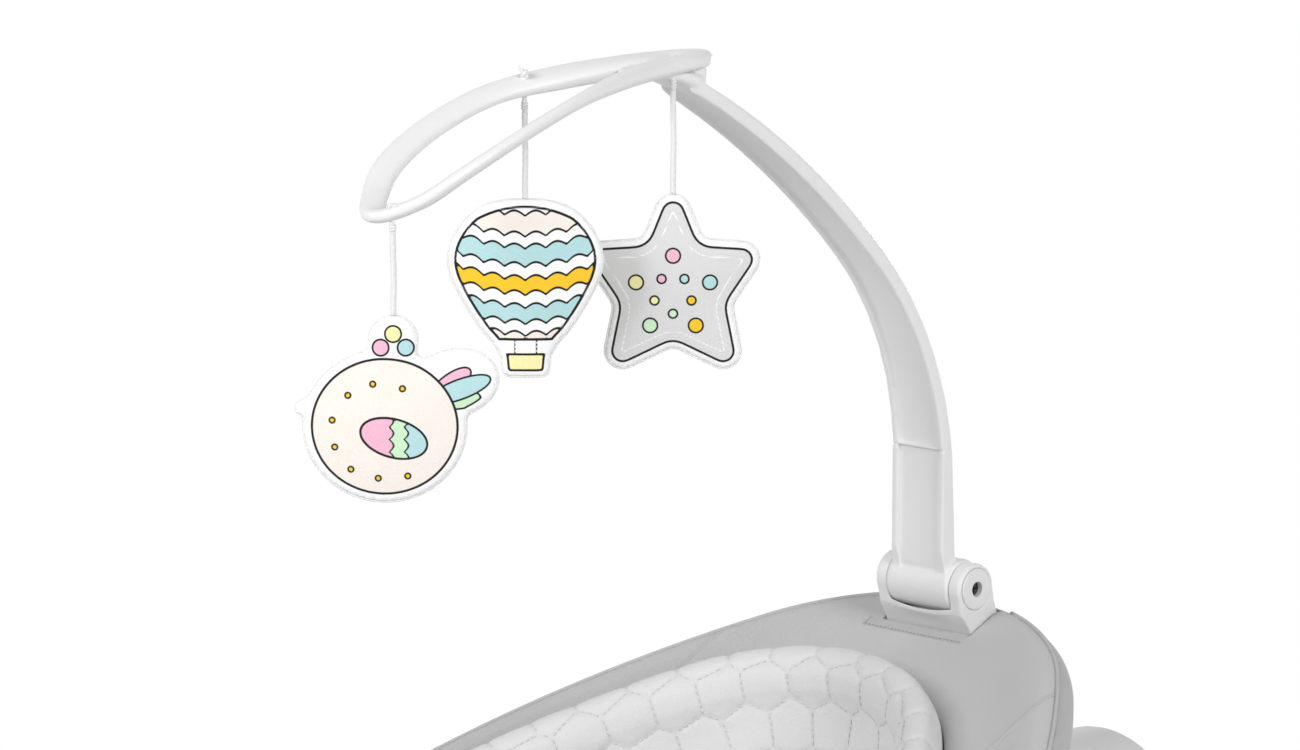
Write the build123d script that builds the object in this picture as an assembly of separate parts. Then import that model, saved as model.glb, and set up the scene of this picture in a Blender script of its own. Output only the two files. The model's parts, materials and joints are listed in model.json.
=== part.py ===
from build123d import *
import math
import os

# Baby swing with a floor ring, a rear tower, a pendulum arm, a reclining bucket seat and a folding toy bar.
# Millimetres. The floor is z = 0, +Z is up, the child's feet point to -Y and the tower stands at +Y.

os.makedirs("parts", exist_ok=True)

# Floor ring
RING_HALF_WIDTH = 290.0
FLOOR_TUBE_D = 25.0
FLOOR_TUBE_WALL = 1.5
FEET_HEIGHT = 6.0
FOOT_D = 22.0
COUPLER_SIZE = 32.0
COUPLER_LENGTH = 90.0
FRONT_FOOT_LENGTH = 76.0

# Tower
TOWER_FRONT_Y = 331.0
TOWER_DEPTH = 70.0
TOWER_FOOT_HALF_WIDTH = 80.0
TOWER_TOP_RADIUS = 60.0
SHELL_WALL = 3.0
SHELL_EDGE = 7.0
PIVOT_Z = 430.0
SCREW_POSTS = ((60.0, 52.0), (42.0, 456.0))
SCREW_POST_R = 5.0
SCREW_HEAD_R = 3.5

# Pivot and drive
SHAFT_D = 16.0
BEARING_D = 32.0
BEARING_WIDTH = 10.0
HOUSING_D = 48.0
HOUSING_LENGTH = 52.0
DRIVE_Z = 192.0
COIL_D = 48.0
COIL_DEPTH = 12.0
MAGNET_D = 30.0
MAGNET_DEPTH = 8.0

# Controls on the tower's rear face
PANEL_WIDTH = 92.0
PANEL_HEIGHT = 136.0
PANEL_Z = 346.0
PANEL_PROUD = 1.5
KNOB_Z = 372.0
KNOB_D = 44.0
KNOB_HEIGHT = 14.0
KNOB_SHAFT_D = 8.0
KNOB_GRIPS = 12
BUTTON_Z = 312.0
BUTTON_PITCH = 25.0
BUTTON_D = 15.0
BUTTON_PROUD = 2.5
SPEAKER_Z = 232.0
SPEAKER_D = 50.0
GRILLE_SLOTS = 5
GRILLE_PITCH = 7.0
DOOR_WIDTH = 86.0
DOOR_HEIGHT = 96.0
DOOR_Z = 120.0
CELL_D = 14.5
CELL_LENGTH = 50.5
CELL_COUNT = 4
INLET_X = 58.0
INLET_Z = 100.0

# Pendulum arm and seat post
ARM_FRONT_Y = 296.0
ARM_THICKNESS = 30.0
ARM_WIDTH = 58.0
ARM_BOSS_RADIUS = 44.0
ARM_FLOOR_Z = 84.0
ARM_DISC_RADIUS = 60.0
ARM_BEND_RADIUS = 60.0
ARM_EDGE = 5.0
EAR_INNER_X = 26.0
EAR_THICKNESS = 12.0
EAR_RADIUS = 17.0
RECLINE_PIN_D = 10.0
RUNNING_CLEARANCE = 0.05

# Seat, in its own tilted frame: x across, u towards the head, n square to the rim
SEAT_TILT = 22.0
SEAT_CENTRE_Y = -45.0
SEAT_CENTRE_Z = 430.0
RIM_HALF_LENGTH = 350.0
RIM_HALF_WIDTH = 200.0
RIM_END_RADIUS = 118.0
RIM_TUBE_D = 20.0
RIM_TUBE_WALL = 1.5
FABRIC_ROLL = 14.0
BOW_HALF_WIDTH = 224.0
BOW_DEPTH = 186.0
BOW_THICKNESS = 18.0
BOW_WIDTH = 40.0
RECLINE_DEPTH = 214.0
INSERT_THICKNESS = 22.0
INSERT_TOP = 30.0
SOFT_GAP = 0.4
STRAP_WIDTH = 25.0
STRAP_THICKNESS = 2.2
STRAP_X = 38.0
BUCKLE_U = -38.0
BUCKLE_WIDTH = 52.0
BUCKLE_LENGTH = 46.0
BUCKLE_HEIGHT = 15.0
BUCKLE_BUTTON_D = 18.0

# Toy bar, measured from its hinge
HINGE_INSET = 7.8
HINGE_RISE = 31.5
BARREL_RADIUS = 13.6
BARREL_LENGTH = 40.4
CHEEK_RADIUS = 12.8
CHEEK_GAP = 41.2
HINGE_WIDTH = 57.0
BUSH_RADIUS = 10.5
TRUNNION_RADIUS = 8.0
SCREW_D = 4.0
ARM_BASE_WIDTH = 34.6
ARM_TIP_WIDTH = 26.0
ARM_SEAM_Z = 69.0
ARM_DEPTH = 8.0
ARM_FRONT = -13.2
CHANNEL_DEPTH = 2.6
FLANGE = 4.2
ARM_BACK_ROUND = 2.6
LOOP_THICKNESS = 5.5
LOOP_DISH_RADIUS = 46.0
LOOP_HALF_WIDTH = 38.0
CORD_D = 2.8
TOY_THICKNESS = 12.0
TOY_TURN = 45.5
TIE_D = 2.4
TIE_HOLE_D = 2.8
KNOT_RADIUS = 2.6
KNOT_GAP = 0.3
BIRD_CORNER = 3.0
# Each toy, where its cord goes through the loop, and the cord's length
TOY_PLACES = (
    ("star", 10.0, -194.0, 48.0),
    ("balloon", -22.6, -257.0, 39.5),
    ("bird", 8.0, -364.5, 35.5),
)
STAR_TIPS = ((90, 61.5), (152.5, 53.0), (229.5, 54.0), (310.5, 54.0), (27.5, 53.0))
STAR_NOTCHES = ((118, 30.0), (189, 28.0), (270, 24.0), (351, 28.0), (62, 30.0))
STAR_SPLIT = 40.0
STAR_TIP_ROUND = 8.5
STAR_NOTCH_ROUND = 6.0
BALLOON_RADIUS = 35.5
BALLOON_HEIGHT = 72.5
BALLOON_NECK = 23.0
BASKET_HEIGHT = 10.0
BIRD_CREST_X = 4.0

# Values that follow from the ones above
TUBE_R = FLOOR_TUBE_D / 2
TUBE_Z = FEET_HEIGHT + COUPLER_SIZE / 2
TOWER_REAR_Y = TOWER_FRONT_Y + TOWER_DEPTH
TOWER_MID_Y = TOWER_FRONT_Y + TOWER_DEPTH / 2
KNOB_BACK_Y = TOWER_REAR_Y + PANEL_PROUD + 0.5
RING_FRONT_Y = TUBE_R - (KNOB_BACK_Y + KNOB_HEIGHT)
ARM_REAR_Y = ARM_FRONT_Y + ARM_THICKNESS
ARM_TOP_Z = ARM_FLOOR_Z + ARM_THICKNESS
SIN_TILT = math.sin(math.radians(SEAT_TILT))
COS_TILT = math.cos(math.radians(SEAT_TILT))
SEAT = Plane(
    origin=(0, SEAT_CENTRE_Y, SEAT_CENTRE_Z), x_dir=(1, 0, 0), z_dir=(0, -SIN_TILT, COS_TILT)
)


def seat_point(u, n):
    """World y and z of a point on the seat's middle plane."""
    return SEAT_CENTRE_Y + u * COS_TILT - n * SIN_TILT, SEAT_CENTRE_Z + u * SIN_TILT + n * COS_TILT


HUB_Y, RECLINE_Z = seat_point(0, -RECLINE_DEPTH)
HINGE_Y, HINGE_Z = seat_point(RIM_HALF_LENGTH - HINGE_INSET, HINGE_RISE)
HINGE = Pos(0, HINGE_Y, HINGE_Z)
CLEVIS_Z = RECLINE_Z - 20.0

PARTS = {}


def keep(name, shape):
    """Store a finished piece under its file name."""
    PARTS[name] = shape


def prism_x(sketch, x0, x1):
    """Extrude a (y, z) sketch from x0 to x1."""
    return extrude(Plane((x0, 0, 0), x_dir=(0, 1, 0), z_dir=(1, 0, 0)) * sketch, amount=x1 - x0)


def prism_y(sketch, y0, y1):
    """Extrude an (x, z) sketch from y0 to y1."""
    return extrude(Plane((0, y1, 0), x_dir=(1, 0, 0), z_dir=(0, -1, 0)) * sketch, amount=y1 - y0)


def prism_z(sketch, z0, z1):
    """Extrude an (x, y) sketch from z0 to z1."""
    return extrude(Pos(0, 0, z0) * sketch, amount=z1 - z0)


def rod_x(radius, x0, x1, y=0.0, z=0.0):
    return prism_x(Pos(y, z) * Circle(radius), x0, x1)


def rod_y(radius, y0, y1, x=0.0, z=0.0):
    return prism_y(Pos(x, z) * Circle(radius), y0, y1)


def rod_z(radius, z0, z1, x=0.0, y=0.0):
    return prism_z(Pos(x, y) * Circle(radius), z0, z1)


def block(x0, x1, y0, y1, z0, z1):
    return Pos((x0 + x1) / 2, (y0 + y1) / 2, (z0 + z1) / 2) * Box(x1 - x0, y1 - y0, z1 - z0)


def both_sides(shape):
    """The shape and its mirror image across the middle plane, as one piece."""
    return shape + mirror(shape, Plane.YZ)


def pipe(path, radius, bore=0.0):
    """A round bar or tube along a path."""
    section = Circle(radius)
    if bore:
        section = section - Circle(bore)
    return sweep(Plane(origin=path @ 0, z_dir=path % 0) * section, path=path)


def round_edges(shape, radius, test):
    """Fillet the edges whose centre passes the test."""
    return fillet([e for e in shape.edges() if test(e.center())], radius)


def ring_path(far_y):
    """Half of the floor ring's centreline: a straight, a half turn and a straight."""
    w = RING_HALF_WIDTH
    turn_y = far_y - math.copysign(w, far_y)
    side = Line((w, 0, TUBE_Z), (w, turn_y, TUBE_Z))
    turn = ThreePointArc((w, turn_y, TUBE_Z), (0, far_y, TUBE_Z), (-w, turn_y, TUBE_Z))
    other = Line((-w, turn_y, TUBE_Z), (-w, 0, TUBE_Z))
    return Wire([side, turn, other])


# Floor ring
def floor_ring():
    front_path = ring_path(RING_FRONT_Y)
    rear_path = ring_path(TOWER_MID_Y)
    keep("floor_tube_front", pipe(front_path, TUBE_R, TUBE_R - FLOOR_TUBE_WALL))
    keep("floor_tube_rear", pipe(rear_path, TUBE_R, TUBE_R - FLOOR_TUBE_WALL))
    half = COUPLER_SIZE / 2
    sleeve = Pos(0, 0, TUBE_Z) * Box(COUPLER_SIZE, COUPLER_LENGTH, COUPLER_SIZE)
    sleeve = fillet(sleeve.edges().filter_by(Axis.Y).group_by(Axis.Z)[-1], half * 0.7)
    sleeve = chamfer(sleeve.edges().group_by(Axis.Y)[0] + sleeve.edges().group_by(Axis.Y)[-1], 1.5)
    sleeve -= rod_y(TUBE_R + 0.1, -COUPLER_LENGTH, COUPLER_LENGTH, z=TUBE_Z)
    keep("coupler_left", Pos(-RING_HALF_WIDTH, 0, 0) * sleeve)
    keep("coupler_right", Pos(RING_HALF_WIDTH, 0, 0) * sleeve)
    clip = Pos(0, RING_FRONT_Y, TUBE_Z) * Box(FRONT_FOOT_LENGTH, COUPLER_SIZE * 0.75, COUPLER_SIZE)
    clip = fillet(clip.edges().filter_by(Axis.X).group_by(Axis.Z)[-1], 8.0)
    clip -= pipe(front_path, TUBE_R + 0.1)
    clip = clip.solids().sort_by(SortBy.VOLUME)[-1]
    keep("front_foot", clip)
    spots = []
    for x in (-RING_HALF_WIDTH, RING_HALF_WIDTH):
        spots += [(x, -COUPLER_LENGTH / 3), (x, COUPLER_LENGTH / 3)]
    spots += [(-25, RING_FRONT_Y), (25, RING_FRONT_Y)]
    spots += [(-60, TOWER_MID_Y), (60, TOWER_MID_Y)]
    pad = rod_z(FOOT_D / 2, 0, FEET_HEIGHT)
    keep("rubber_feet", Compound(children=[Pos(x, y, 0) * pad for x, y in spots]))
    return rear_path


def tower_outline(inset=0.0):
    """A tall (x, z) outline: a straight foot, leaning sides and a round top."""
    foot_x = TOWER_FOOT_HALF_WIDTH - inset
    foot_z = FEET_HEIGHT + inset
    radius = TOWER_TOP_RADIUS - inset
    drop = foot_z - PIVOT_Z
    turn = math.atan2(drop, foot_x) + math.acos(radius / math.hypot(foot_x, drop))
    touch = (radius * math.cos(turn), PIVOT_Z + radius * math.sin(turn))
    right = Line((foot_x, foot_z), touch)
    top = ThreePointArc(touch, (0, PIVOT_Z + radius), (-touch[0], touch[1]))
    left = Line((-touch[0], touch[1]), (-foot_x, foot_z))
    foot = Line((-foot_x, foot_z), (foot_x, foot_z))
    return make_face(Wire([right, top, left, foot]))


# Tower housing, its steel post and what it holds
def tower(rear_path):
    hull = prism_y(tower_outline(), TOWER_FRONT_Y, TOWER_REAR_Y)
    rim_y = (TOWER_FRONT_Y, TOWER_REAR_Y)
    rim = [e for e in hull.edges() if min(abs(e.center().Y - y) for y in rim_y) < 0.01]
    hull = chamfer([e for e in rim if e.center().Z > FEET_HEIGHT + 0.1], SHELL_EDGE)
    inner_front = TOWER_FRONT_Y + SHELL_WALL
    inner_rear = TOWER_REAR_Y - SHELL_WALL
    shell = hull - prism_y(tower_outline(SHELL_WALL), inner_front, inner_rear)
    posts = [(sx * x, z) for x, z in SCREW_POSTS for sx in (-1, 1)]
    shell += [rod_y(SCREW_POST_R, inner_front - 1, inner_rear + 1, x, z) for x, z in posts]
    shell -= [rod_y(SCREW_HEAD_R + 0.3, TOWER_MID_Y + 2, TOWER_REAR_Y, x, z) for x, z in posts]
    shell -= [rod_y(1.7, inner_front + 12, TOWER_REAR_Y, x, z) for x, z in posts]
    shell -= pipe(rear_path, TUBE_R + 0.1)
    front = split(shell, Plane.XZ.offset(-TOWER_MID_Y), keep=Keep.TOP)
    rear = split(shell, Plane.XZ.offset(-TOWER_MID_Y), keep=Keep.BOTTOM)

    front -= rod_y(SHAFT_D / 2 + 2, TOWER_FRONT_Y - 1, inner_front + 1, z=PIVOT_Z)
    front += rod_y(7.8, inner_front - 1, inner_front + COIL_DEPTH + 2, z=DRIVE_Z)
    coil = rod_y(COIL_D / 2, inner_front, inner_front + COIL_DEPTH, z=DRIVE_Z)
    coil -= rod_y(8.0, inner_front, inner_front + COIL_DEPTH, z=DRIVE_Z)
    keep("drive_coil", coil)
    keep("tower_front_shell", front)

    panel_sketch = Pos(0, PANEL_Z) * RectangleRounded(PANEL_WIDTH, PANEL_HEIGHT, 20)
    panel_back = TOWER_REAR_Y - 1.5
    panel = prism_y(panel_sketch, panel_back, TOWER_REAR_Y + PANEL_PROUD)
    panel = chamfer(panel.edges().group_by(Axis.Y)[-1], 1.0)
    rear -= prism_y(Pos(0, PANEL_Z) * RectangleRounded(PANEL_WIDTH + 0.6, PANEL_HEIGHT + 0.6, 20.3),
                    panel_back, TOWER_REAR_Y + 1)
    button_spots = [(-BUTTON_PITCH, "button_timer"), (0.0, "button_power"), (BUTTON_PITCH, "button_music")]
    front_y = TOWER_REAR_Y + PANEL_PROUD
    for x, name in button_spots:
        hole = rod_y(BUTTON_D / 2 + 0.1, inner_rear - 1, front_y + 1, x, BUTTON_Z)
        panel -= hole
        rear -= hole
        cap = rod_y(BUTTON_D / 2, inner_rear - 0.5, front_y + BUTTON_PROUD, x, BUTTON_Z)
        cap = chamfer(cap.edges().group_by(Axis.Y)[-1], 0.9)
        cap += rod_y(BUTTON_D / 2 + 2, inner_rear - 2.0, inner_rear - 0.3, x, BUTTON_Z)
        cap += block(x - 2, x + 2, inner_rear - 9.0, inner_rear - 2.0, BUTTON_Z - 2, BUTTON_Z + 2)
        keep(name, cap)
    hole = rod_y(KNOB_SHAFT_D / 2 + RUNNING_CLEARANCE, inner_rear - 1, front_y + 1, z=KNOB_Z)
    panel -= hole
    rear -= hole
    keep("control_panel", panel)
    knob = rod_y(KNOB_D / 2, KNOB_BACK_Y, KNOB_BACK_Y + KNOB_HEIGHT, z=KNOB_Z)
    knob = chamfer(knob.edges().group_by(Axis.Y)[-1], 2.0)
    grip_r = KNOB_D / 2 + 1.0
    for i in range(KNOB_GRIPS):
        turn = 2 * math.pi * (i + 0.5) / KNOB_GRIPS
        x, z = grip_r * math.cos(turn), KNOB_Z + grip_r * math.sin(turn)
        knob -= rod_y(2.6, KNOB_BACK_Y + 2, KNOB_BACK_Y + KNOB_HEIGHT, x, z)
    knob -= block(-1.2, 1.2, KNOB_BACK_Y + KNOB_HEIGHT - 1, KNOB_BACK_Y + KNOB_HEIGHT + 1,
                  KNOB_Z + 7, KNOB_Z + KNOB_D / 2 - 3)
    knob += rod_y(KNOB_SHAFT_D / 2, inner_rear - 11, KNOB_BACK_Y + 1, z=KNOB_Z)
    keep("speed_knob", knob)

    slots = []
    for i in range(GRILLE_SLOTS):
        rise = GRILLE_PITCH * (i - (GRILLE_SLOTS - 1) / 2)
        reach = math.sqrt((SPEAKER_D / 2 - 5) ** 2 - rise ** 2)
        slot = Pos(0, SPEAKER_Z + rise) * SlotOverall(2 * reach + 2, 2.8)
        slots.append(prism_y(slot, inner_rear - 1, TOWER_REAR_Y + 1))
    rear -= slots
    speaker = rod_y(SPEAKER_D / 2, inner_rear - 6, inner_rear, z=SPEAKER_Z)
    speaker += rod_y(SPEAKER_D / 2 - 9, inner_rear - 15, inner_rear - 6, z=SPEAKER_Z)
    speaker -= rod_y(SPEAKER_D / 2 - 4, inner_rear - 2.5, inner_rear, z=SPEAKER_Z)
    keep("speaker", speaker)

    opening = Pos(0, DOOR_Z) * RectangleRounded(DOOR_WIDTH, DOOR_HEIGHT, 6)
    rear -= prism_y(opening, inner_rear - 1, TOWER_REAR_Y + 1)
    tray_front = inner_rear - 21.0
    tray = block(-DOOR_WIDTH / 2 - 2, DOOR_WIDTH / 2 + 2, tray_front, inner_rear,
                 DOOR_Z - DOOR_HEIGHT / 2 - 2, DOOR_Z + DOOR_HEIGHT / 2 + 2)
    tray -= prism_y(opening, tray_front + 2, inner_rear + 1)
    rear += tray
    door = prism_y(Pos(0, DOOR_Z) * RectangleRounded(DOOR_WIDTH - 0.8, DOOR_HEIGHT - 0.8, 5.6),
                   inner_rear - 1, TOWER_REAR_Y)
    finger = Pos(0, DOOR_Z + DOOR_HEIGHT / 2 - 14) * SlotOverall(26, 9)
    door -= prism_y(finger, TOWER_REAR_Y - 1.2, TOWER_REAR_Y)
    keep("battery_door", door)
    cells = []
    for i in range(CELL_COUNT):
        z = DOOR_Z + (i - (CELL_COUNT - 1) / 2) * (CELL_D + 5)
        y = tray_front + 2.05 + CELL_D / 2
        cell = rod_x(CELL_D / 2, -CELL_LENGTH / 2, CELL_LENGTH / 2 - 1.5, y, z)
        cells.append(cell + rod_x(2.7, CELL_LENGTH / 2 - 1.5, CELL_LENGTH / 2, y, z))
    keep("battery_cells", Compound(children=cells))

    rear -= rod_y(5.6, inner_rear - 1, TOWER_REAR_Y + 1, INLET_X, INLET_Z)
    inlet = rod_y(5.5, inner_rear - 8, TOWER_REAR_Y, INLET_X, INLET_Z)
    inlet += rod_y(7.5, inner_rear - 3, inner_rear, INLET_X, INLET_Z)
    inlet -= rod_y(3.2, inner_rear - 5, TOWER_REAR_Y + 1, INLET_X, INLET_Z)
    keep("dc_inlet", inlet)

    board_front, board_rear = inner_rear - 14.0, inner_rear - 12.4
    board_x, board_z0, board_z1 = 43.0, 292.0, 398.0
    board = block(-board_x, board_x, board_front, board_rear, board_z0, board_z1)
    for x, z, w, h, d in ((-26, 350, 14, 14, 2.5), (24, 344, 10, 18, 4), (0, 304, 60, 8, 2)):
        board += block(x - w / 2, x + w / 2, board_front - d, board_front, z - h / 2, z + h / 2)
    keep("main_board", board)
    for x in (-board_x + 5, board_x - 5):
        for z in (board_z0 + 5, board_z1 - 5):
            rear += block(x - 3, x + 3, board_rear, inner_rear + 1, z - 3, z + 3)
    keep("tower_rear_shell", rear)

    screws = []
    for x, z in posts:
        head = rod_y(SCREW_HEAD_R, TOWER_MID_Y + 2, TOWER_MID_Y + 5, x, z)
        screws.append(head + rod_y(1.6, inner_front + 14, TOWER_MID_Y + 2, x, z))
    keep("shell_screws", Compound(children=screws))

    housing_front = TOWER_MID_Y - HOUSING_LENGTH / 2
    housing_rear = TOWER_MID_Y + HOUSING_LENGTH / 2
    post_top = PIVOT_Z - HOUSING_D / 2 + 4
    spine = block(-25, 25, TOWER_MID_Y - 10, TOWER_MID_Y + 8, 40, post_top)
    spine -= block(-22.5, 22.5, TOWER_MID_Y - 7.5, TOWER_MID_Y + 5.5, 48, post_top - 8)
    spine += block(-40, 40, TOWER_MID_Y - 18, TOWER_MID_Y + 18, FEET_HEIGHT + SHELL_WALL + 0.1, 46)
    spine += rod_y(HOUSING_D / 2, housing_front, housing_rear, z=PIVOT_Z)
    spine -= rod_y(BEARING_D / 2 - 2, housing_front, housing_rear, z=PIVOT_Z)
    spine -= rod_y(BEARING_D / 2 + 0.05, housing_front, housing_front + BEARING_WIDTH, z=PIVOT_Z)
    spine -= rod_y(BEARING_D / 2 + 0.05, housing_rear - BEARING_WIDTH, housing_rear, z=PIVOT_Z)
    spine -= pipe(rear_path, TUBE_R + 0.1)
    keep("tower_spine", spine)
    rings = []
    for y in (housing_front, housing_rear - BEARING_WIDTH):
        ring = rod_y(BEARING_D / 2, y, y + BEARING_WIDTH, z=PIVOT_Z)
        rings.append(ring - rod_y(SHAFT_D / 2 + RUNNING_CLEARANCE, y, y + BEARING_WIDTH, z=PIVOT_Z))
    keep("bearings", Compound(children=rings))
    shaft = rod_y(SHAFT_D / 2, ARM_FRONT_Y + 4, housing_rear + 3, z=PIVOT_Z)
    shaft -= rod_y(SHAFT_D / 2, housing_rear + 0.4, housing_rear + 1.7, z=PIVOT_Z) - rod_y(
        SHAFT_D / 2 - 1, housing_rear + 0.4, housing_rear + 1.7, z=PIVOT_Z)
    keep("pivot_shaft", shaft)
    clip = rod_y(SHAFT_D / 2 + 3, housing_rear + 0.45, housing_rear + 1.65, z=PIVOT_Z)
    clip -= rod_y(SHAFT_D / 2 - 0.95, housing_rear, housing_rear + 2, z=PIVOT_Z)
    clip -= block(-4, 4, housing_rear, housing_rear + 2, PIVOT_Z - SHAFT_D, PIVOT_Z)
    keep("shaft_clip", clip)


# Pendulum arm, post and recline lever
def pendulum():
    y0, y1, z0, z1 = ARM_FRONT_Y, ARM_REAR_Y, ARM_FLOOR_Z, ARM_TOP_Z
    bend_in, bend_out = ARM_BEND_RADIUS, ARM_BEND_RADIUS + ARM_THICKNESS
    in_mid, out_mid = bend_in * (1 - math.sqrt(0.5)), bend_out * (1 - math.sqrt(0.5))
    lines = [
        Line((y1, PIVOT_Z), (y0, PIVOT_Z)),
        Line((y0, PIVOT_Z), (y0, z1 + bend_in)),
        ThreePointArc((y0, z1 + bend_in), (y0 - in_mid, z1 + in_mid), (y0 - bend_in, z1)),
        Line((y0 - bend_in, z1), (HUB_Y, z1)),
        Line((HUB_Y, z1), (HUB_Y, z0)),
        Line((HUB_Y, z0), (y1 - bend_out, z0)),
        ThreePointArc((y1 - bend_out, z0), (y1 - out_mid, z0 + out_mid), (y1, z0 + bend_out)),
        Line((y1, z0 + bend_out), (y1, PIVOT_Z)),
    ]
    half = ARM_WIDTH / 2
    beam = prism_x(make_face(Wire(lines)), -half, half)
    edges = [e for e in beam.edges() if abs(abs(e.center().X) - half) < 0.01]
    beam = chamfer([e for e in edges if e.center().Z < PIVOT_Z - 1 and e.center().Y > HUB_Y + 1], ARM_EDGE)
    boss = rod_y(ARM_BOSS_RADIUS, y0, y1, z=PIVOT_Z)
    boss = chamfer(boss.edges().group_by(Axis.Y)[0], ARM_EDGE)
    disc = rod_z(ARM_DISC_RADIUS, z0, z1, y=HUB_Y)
    disc = chamfer(disc.edges().group_by(Axis.Z)[-1], ARM_EDGE)
    arm = beam + boss + disc
    arm -= rod_y(SHAFT_D / 2 + 0.05, y0 + 4, y1 + 1, z=PIVOT_Z)
    arm -= rod_y(MAGNET_D / 2 + 0.1, y1 - MAGNET_DEPTH, y1 + 1, z=DRIVE_Z)
    keep("swing_arm", arm)
    keep("drive_magnet", rod_y(MAGNET_D / 2, y1 - MAGNET_DEPTH, y1 - 0.3, z=DRIVE_Z))

    neck_z = CLEVIS_Z - 14
    profile = make_face(Polyline(
        (0, z1), (50, z1), (50, z1 + 5), (38, z1 + 24), (33, neck_z), (33, CLEVIS_Z - 6), (0, CLEVIS_Z - 6),
        close=True))
    post = Pos(0, HUB_Y, 0) * revolve(Plane.XZ * profile, Axis.Z)
    outer_x = EAR_INNER_X + EAR_THICKNESS
    head = block(-outer_x, outer_x, HUB_Y - EAR_RADIUS, HUB_Y + EAR_RADIUS, CLEVIS_Z - 16, CLEVIS_Z)
    ear = prism_x(Pos(HUB_Y, RECLINE_Z) * Circle(EAR_RADIUS), EAR_INNER_X, outer_x)
    ear += block(EAR_INNER_X, outer_x, HUB_Y - EAR_RADIUS, HUB_Y + EAR_RADIUS, CLEVIS_Z - 1, RECLINE_Z)
    post += head
    post += both_sides(ear)
    pin_r = RECLINE_PIN_D / 2
    post -= rod_x(pin_r + RUNNING_CLEARANCE, -outer_x - 1, outer_x + 1, HUB_Y, RECLINE_Z)

    lever_y, lever_z = HUB_Y - 52.0, CLEVIS_Z - 34.0
    lug = prism_x(Pos(lever_y, lever_z) * Circle(7), 16, 22)
    lug += block(16, 22, lever_y, HUB_Y - 20, lever_z - 7, lever_z + 7)
    post += both_sides(lug)
    post -= rod_x(3.0 + RUNNING_CLEARANCE, -23, 23, lever_y, lever_z)
    keep("seat_post", post)

    grip = make_face(Polyline(
        (lever_y, lever_z + 6), (lever_y - 62, lever_z - 8), (lever_y - 66, lever_z - 16),
        (lever_y - 58, lever_z - 17), (lever_y, lever_z - 4), close=True))
    lever = prism_x(grip, -15.6, 15.6) + rod_x(6.5, -15.6, 15.6, lever_y, lever_z)
    lever += block(-9, 9, lever_y - 3, lever_y + 3, lever_z, lever_z + 24)
    paddle = prism_x(make_face(Polyline((lever_y - 26, lever_z + 0.5), (lever_y - 62, lever_z - 8),
                                        (lever_y - 66, lever_z - 16), (lever_y - 58, lever_z - 17),
                                        (lever_y - 26, lever_z - 9.5), close=True)), -30, 30)
    paddle = fillet(paddle.edges().filter_by(Axis.X), 1.5)
    lever += paddle
    lever += rod_x(3.0, -22.5, 22.5, lever_y, lever_z)
    keep("release_lever", lever)

    pin = rod_x(pin_r, -outer_x - 0.5, outer_x + 0.5, HUB_Y, RECLINE_Z)
    for x0, x1 in ((-outer_x - 4, -outer_x - 0.4), (outer_x + 0.4, outer_x + 4)):
        pin += rod_x(pin_r + 3, x0, x1, HUB_Y, RECLINE_Z)
    keep("recline_pin", pin)


def oval(half_length, half_width, end_radius, shift=0.0):
    """Arcs of a tangent four-arc oval, long along u, in order from the right side."""
    reach = half_length - end_radius
    side_radius = (reach ** 2 + half_width ** 2 - end_radius ** 2) / (2 * (half_width - end_radius))
    side_x = side_radius - half_width
    turn = math.degrees(math.atan2(reach, side_x))
    return [
        CenterArc((-side_x, shift), side_radius, 0, turn),
        CenterArc((0, shift + reach), end_radius, turn, 180 - 2 * turn),
        CenterArc((side_x, shift), side_radius, 180 - turn, turn),
        CenterArc((side_x, shift), side_radius, 180, turn),
        CenterArc((0, shift - reach), end_radius, 180 + turn, 180 - 2 * turn),
        CenterArc((-side_x, shift), side_radius, 360 - turn, turn),
    ]


def bowl(levels):
    """Loft through ovals given as (n, half length, half width, end radius, shift)."""
    return loft([Pos(0, 0, n) * make_face(Wire(oval(a, b, r, shift))) for n, a, b, r, shift in levels])


def hollow(inset):
    """The seat's inside, drawn in evenly by the inset."""
    rows = (
        (60.0, 60, 28, 0.62, -6, 0.0),
        (8.0, 62, 30, 0.62, -6, 0.0),
        (-35.0, 80, 42, 0.66, -12, 0.25),
        (-80.0, 128, 70, 0.72, -26, 0.55),
        (-112.0, 190, 104, 0.78, -42, 0.85),
        (-130.0, 245, 134, 0.82, -52, 1.0),
    )
    levels = []
    for n, long, wide, roundness, shift, up in rows:
        side = inset * math.sqrt(max(1 - up ** 2, 0.12))
        width = RIM_HALF_WIDTH - wide
        length = RIM_HALF_LENGTH - long
        levels.append((n + inset * up, length - side, width - side, width * roundness - side, shift))
    return bowl(levels)


def layer(outline, inner, outer):
    """What lies between two insets of the seat's inside, within an outline seen along n."""
    return extrude(Pos(0, 0, -200) * outline, amount=300) & (hollow(inner) - hollow(outer))


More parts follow.
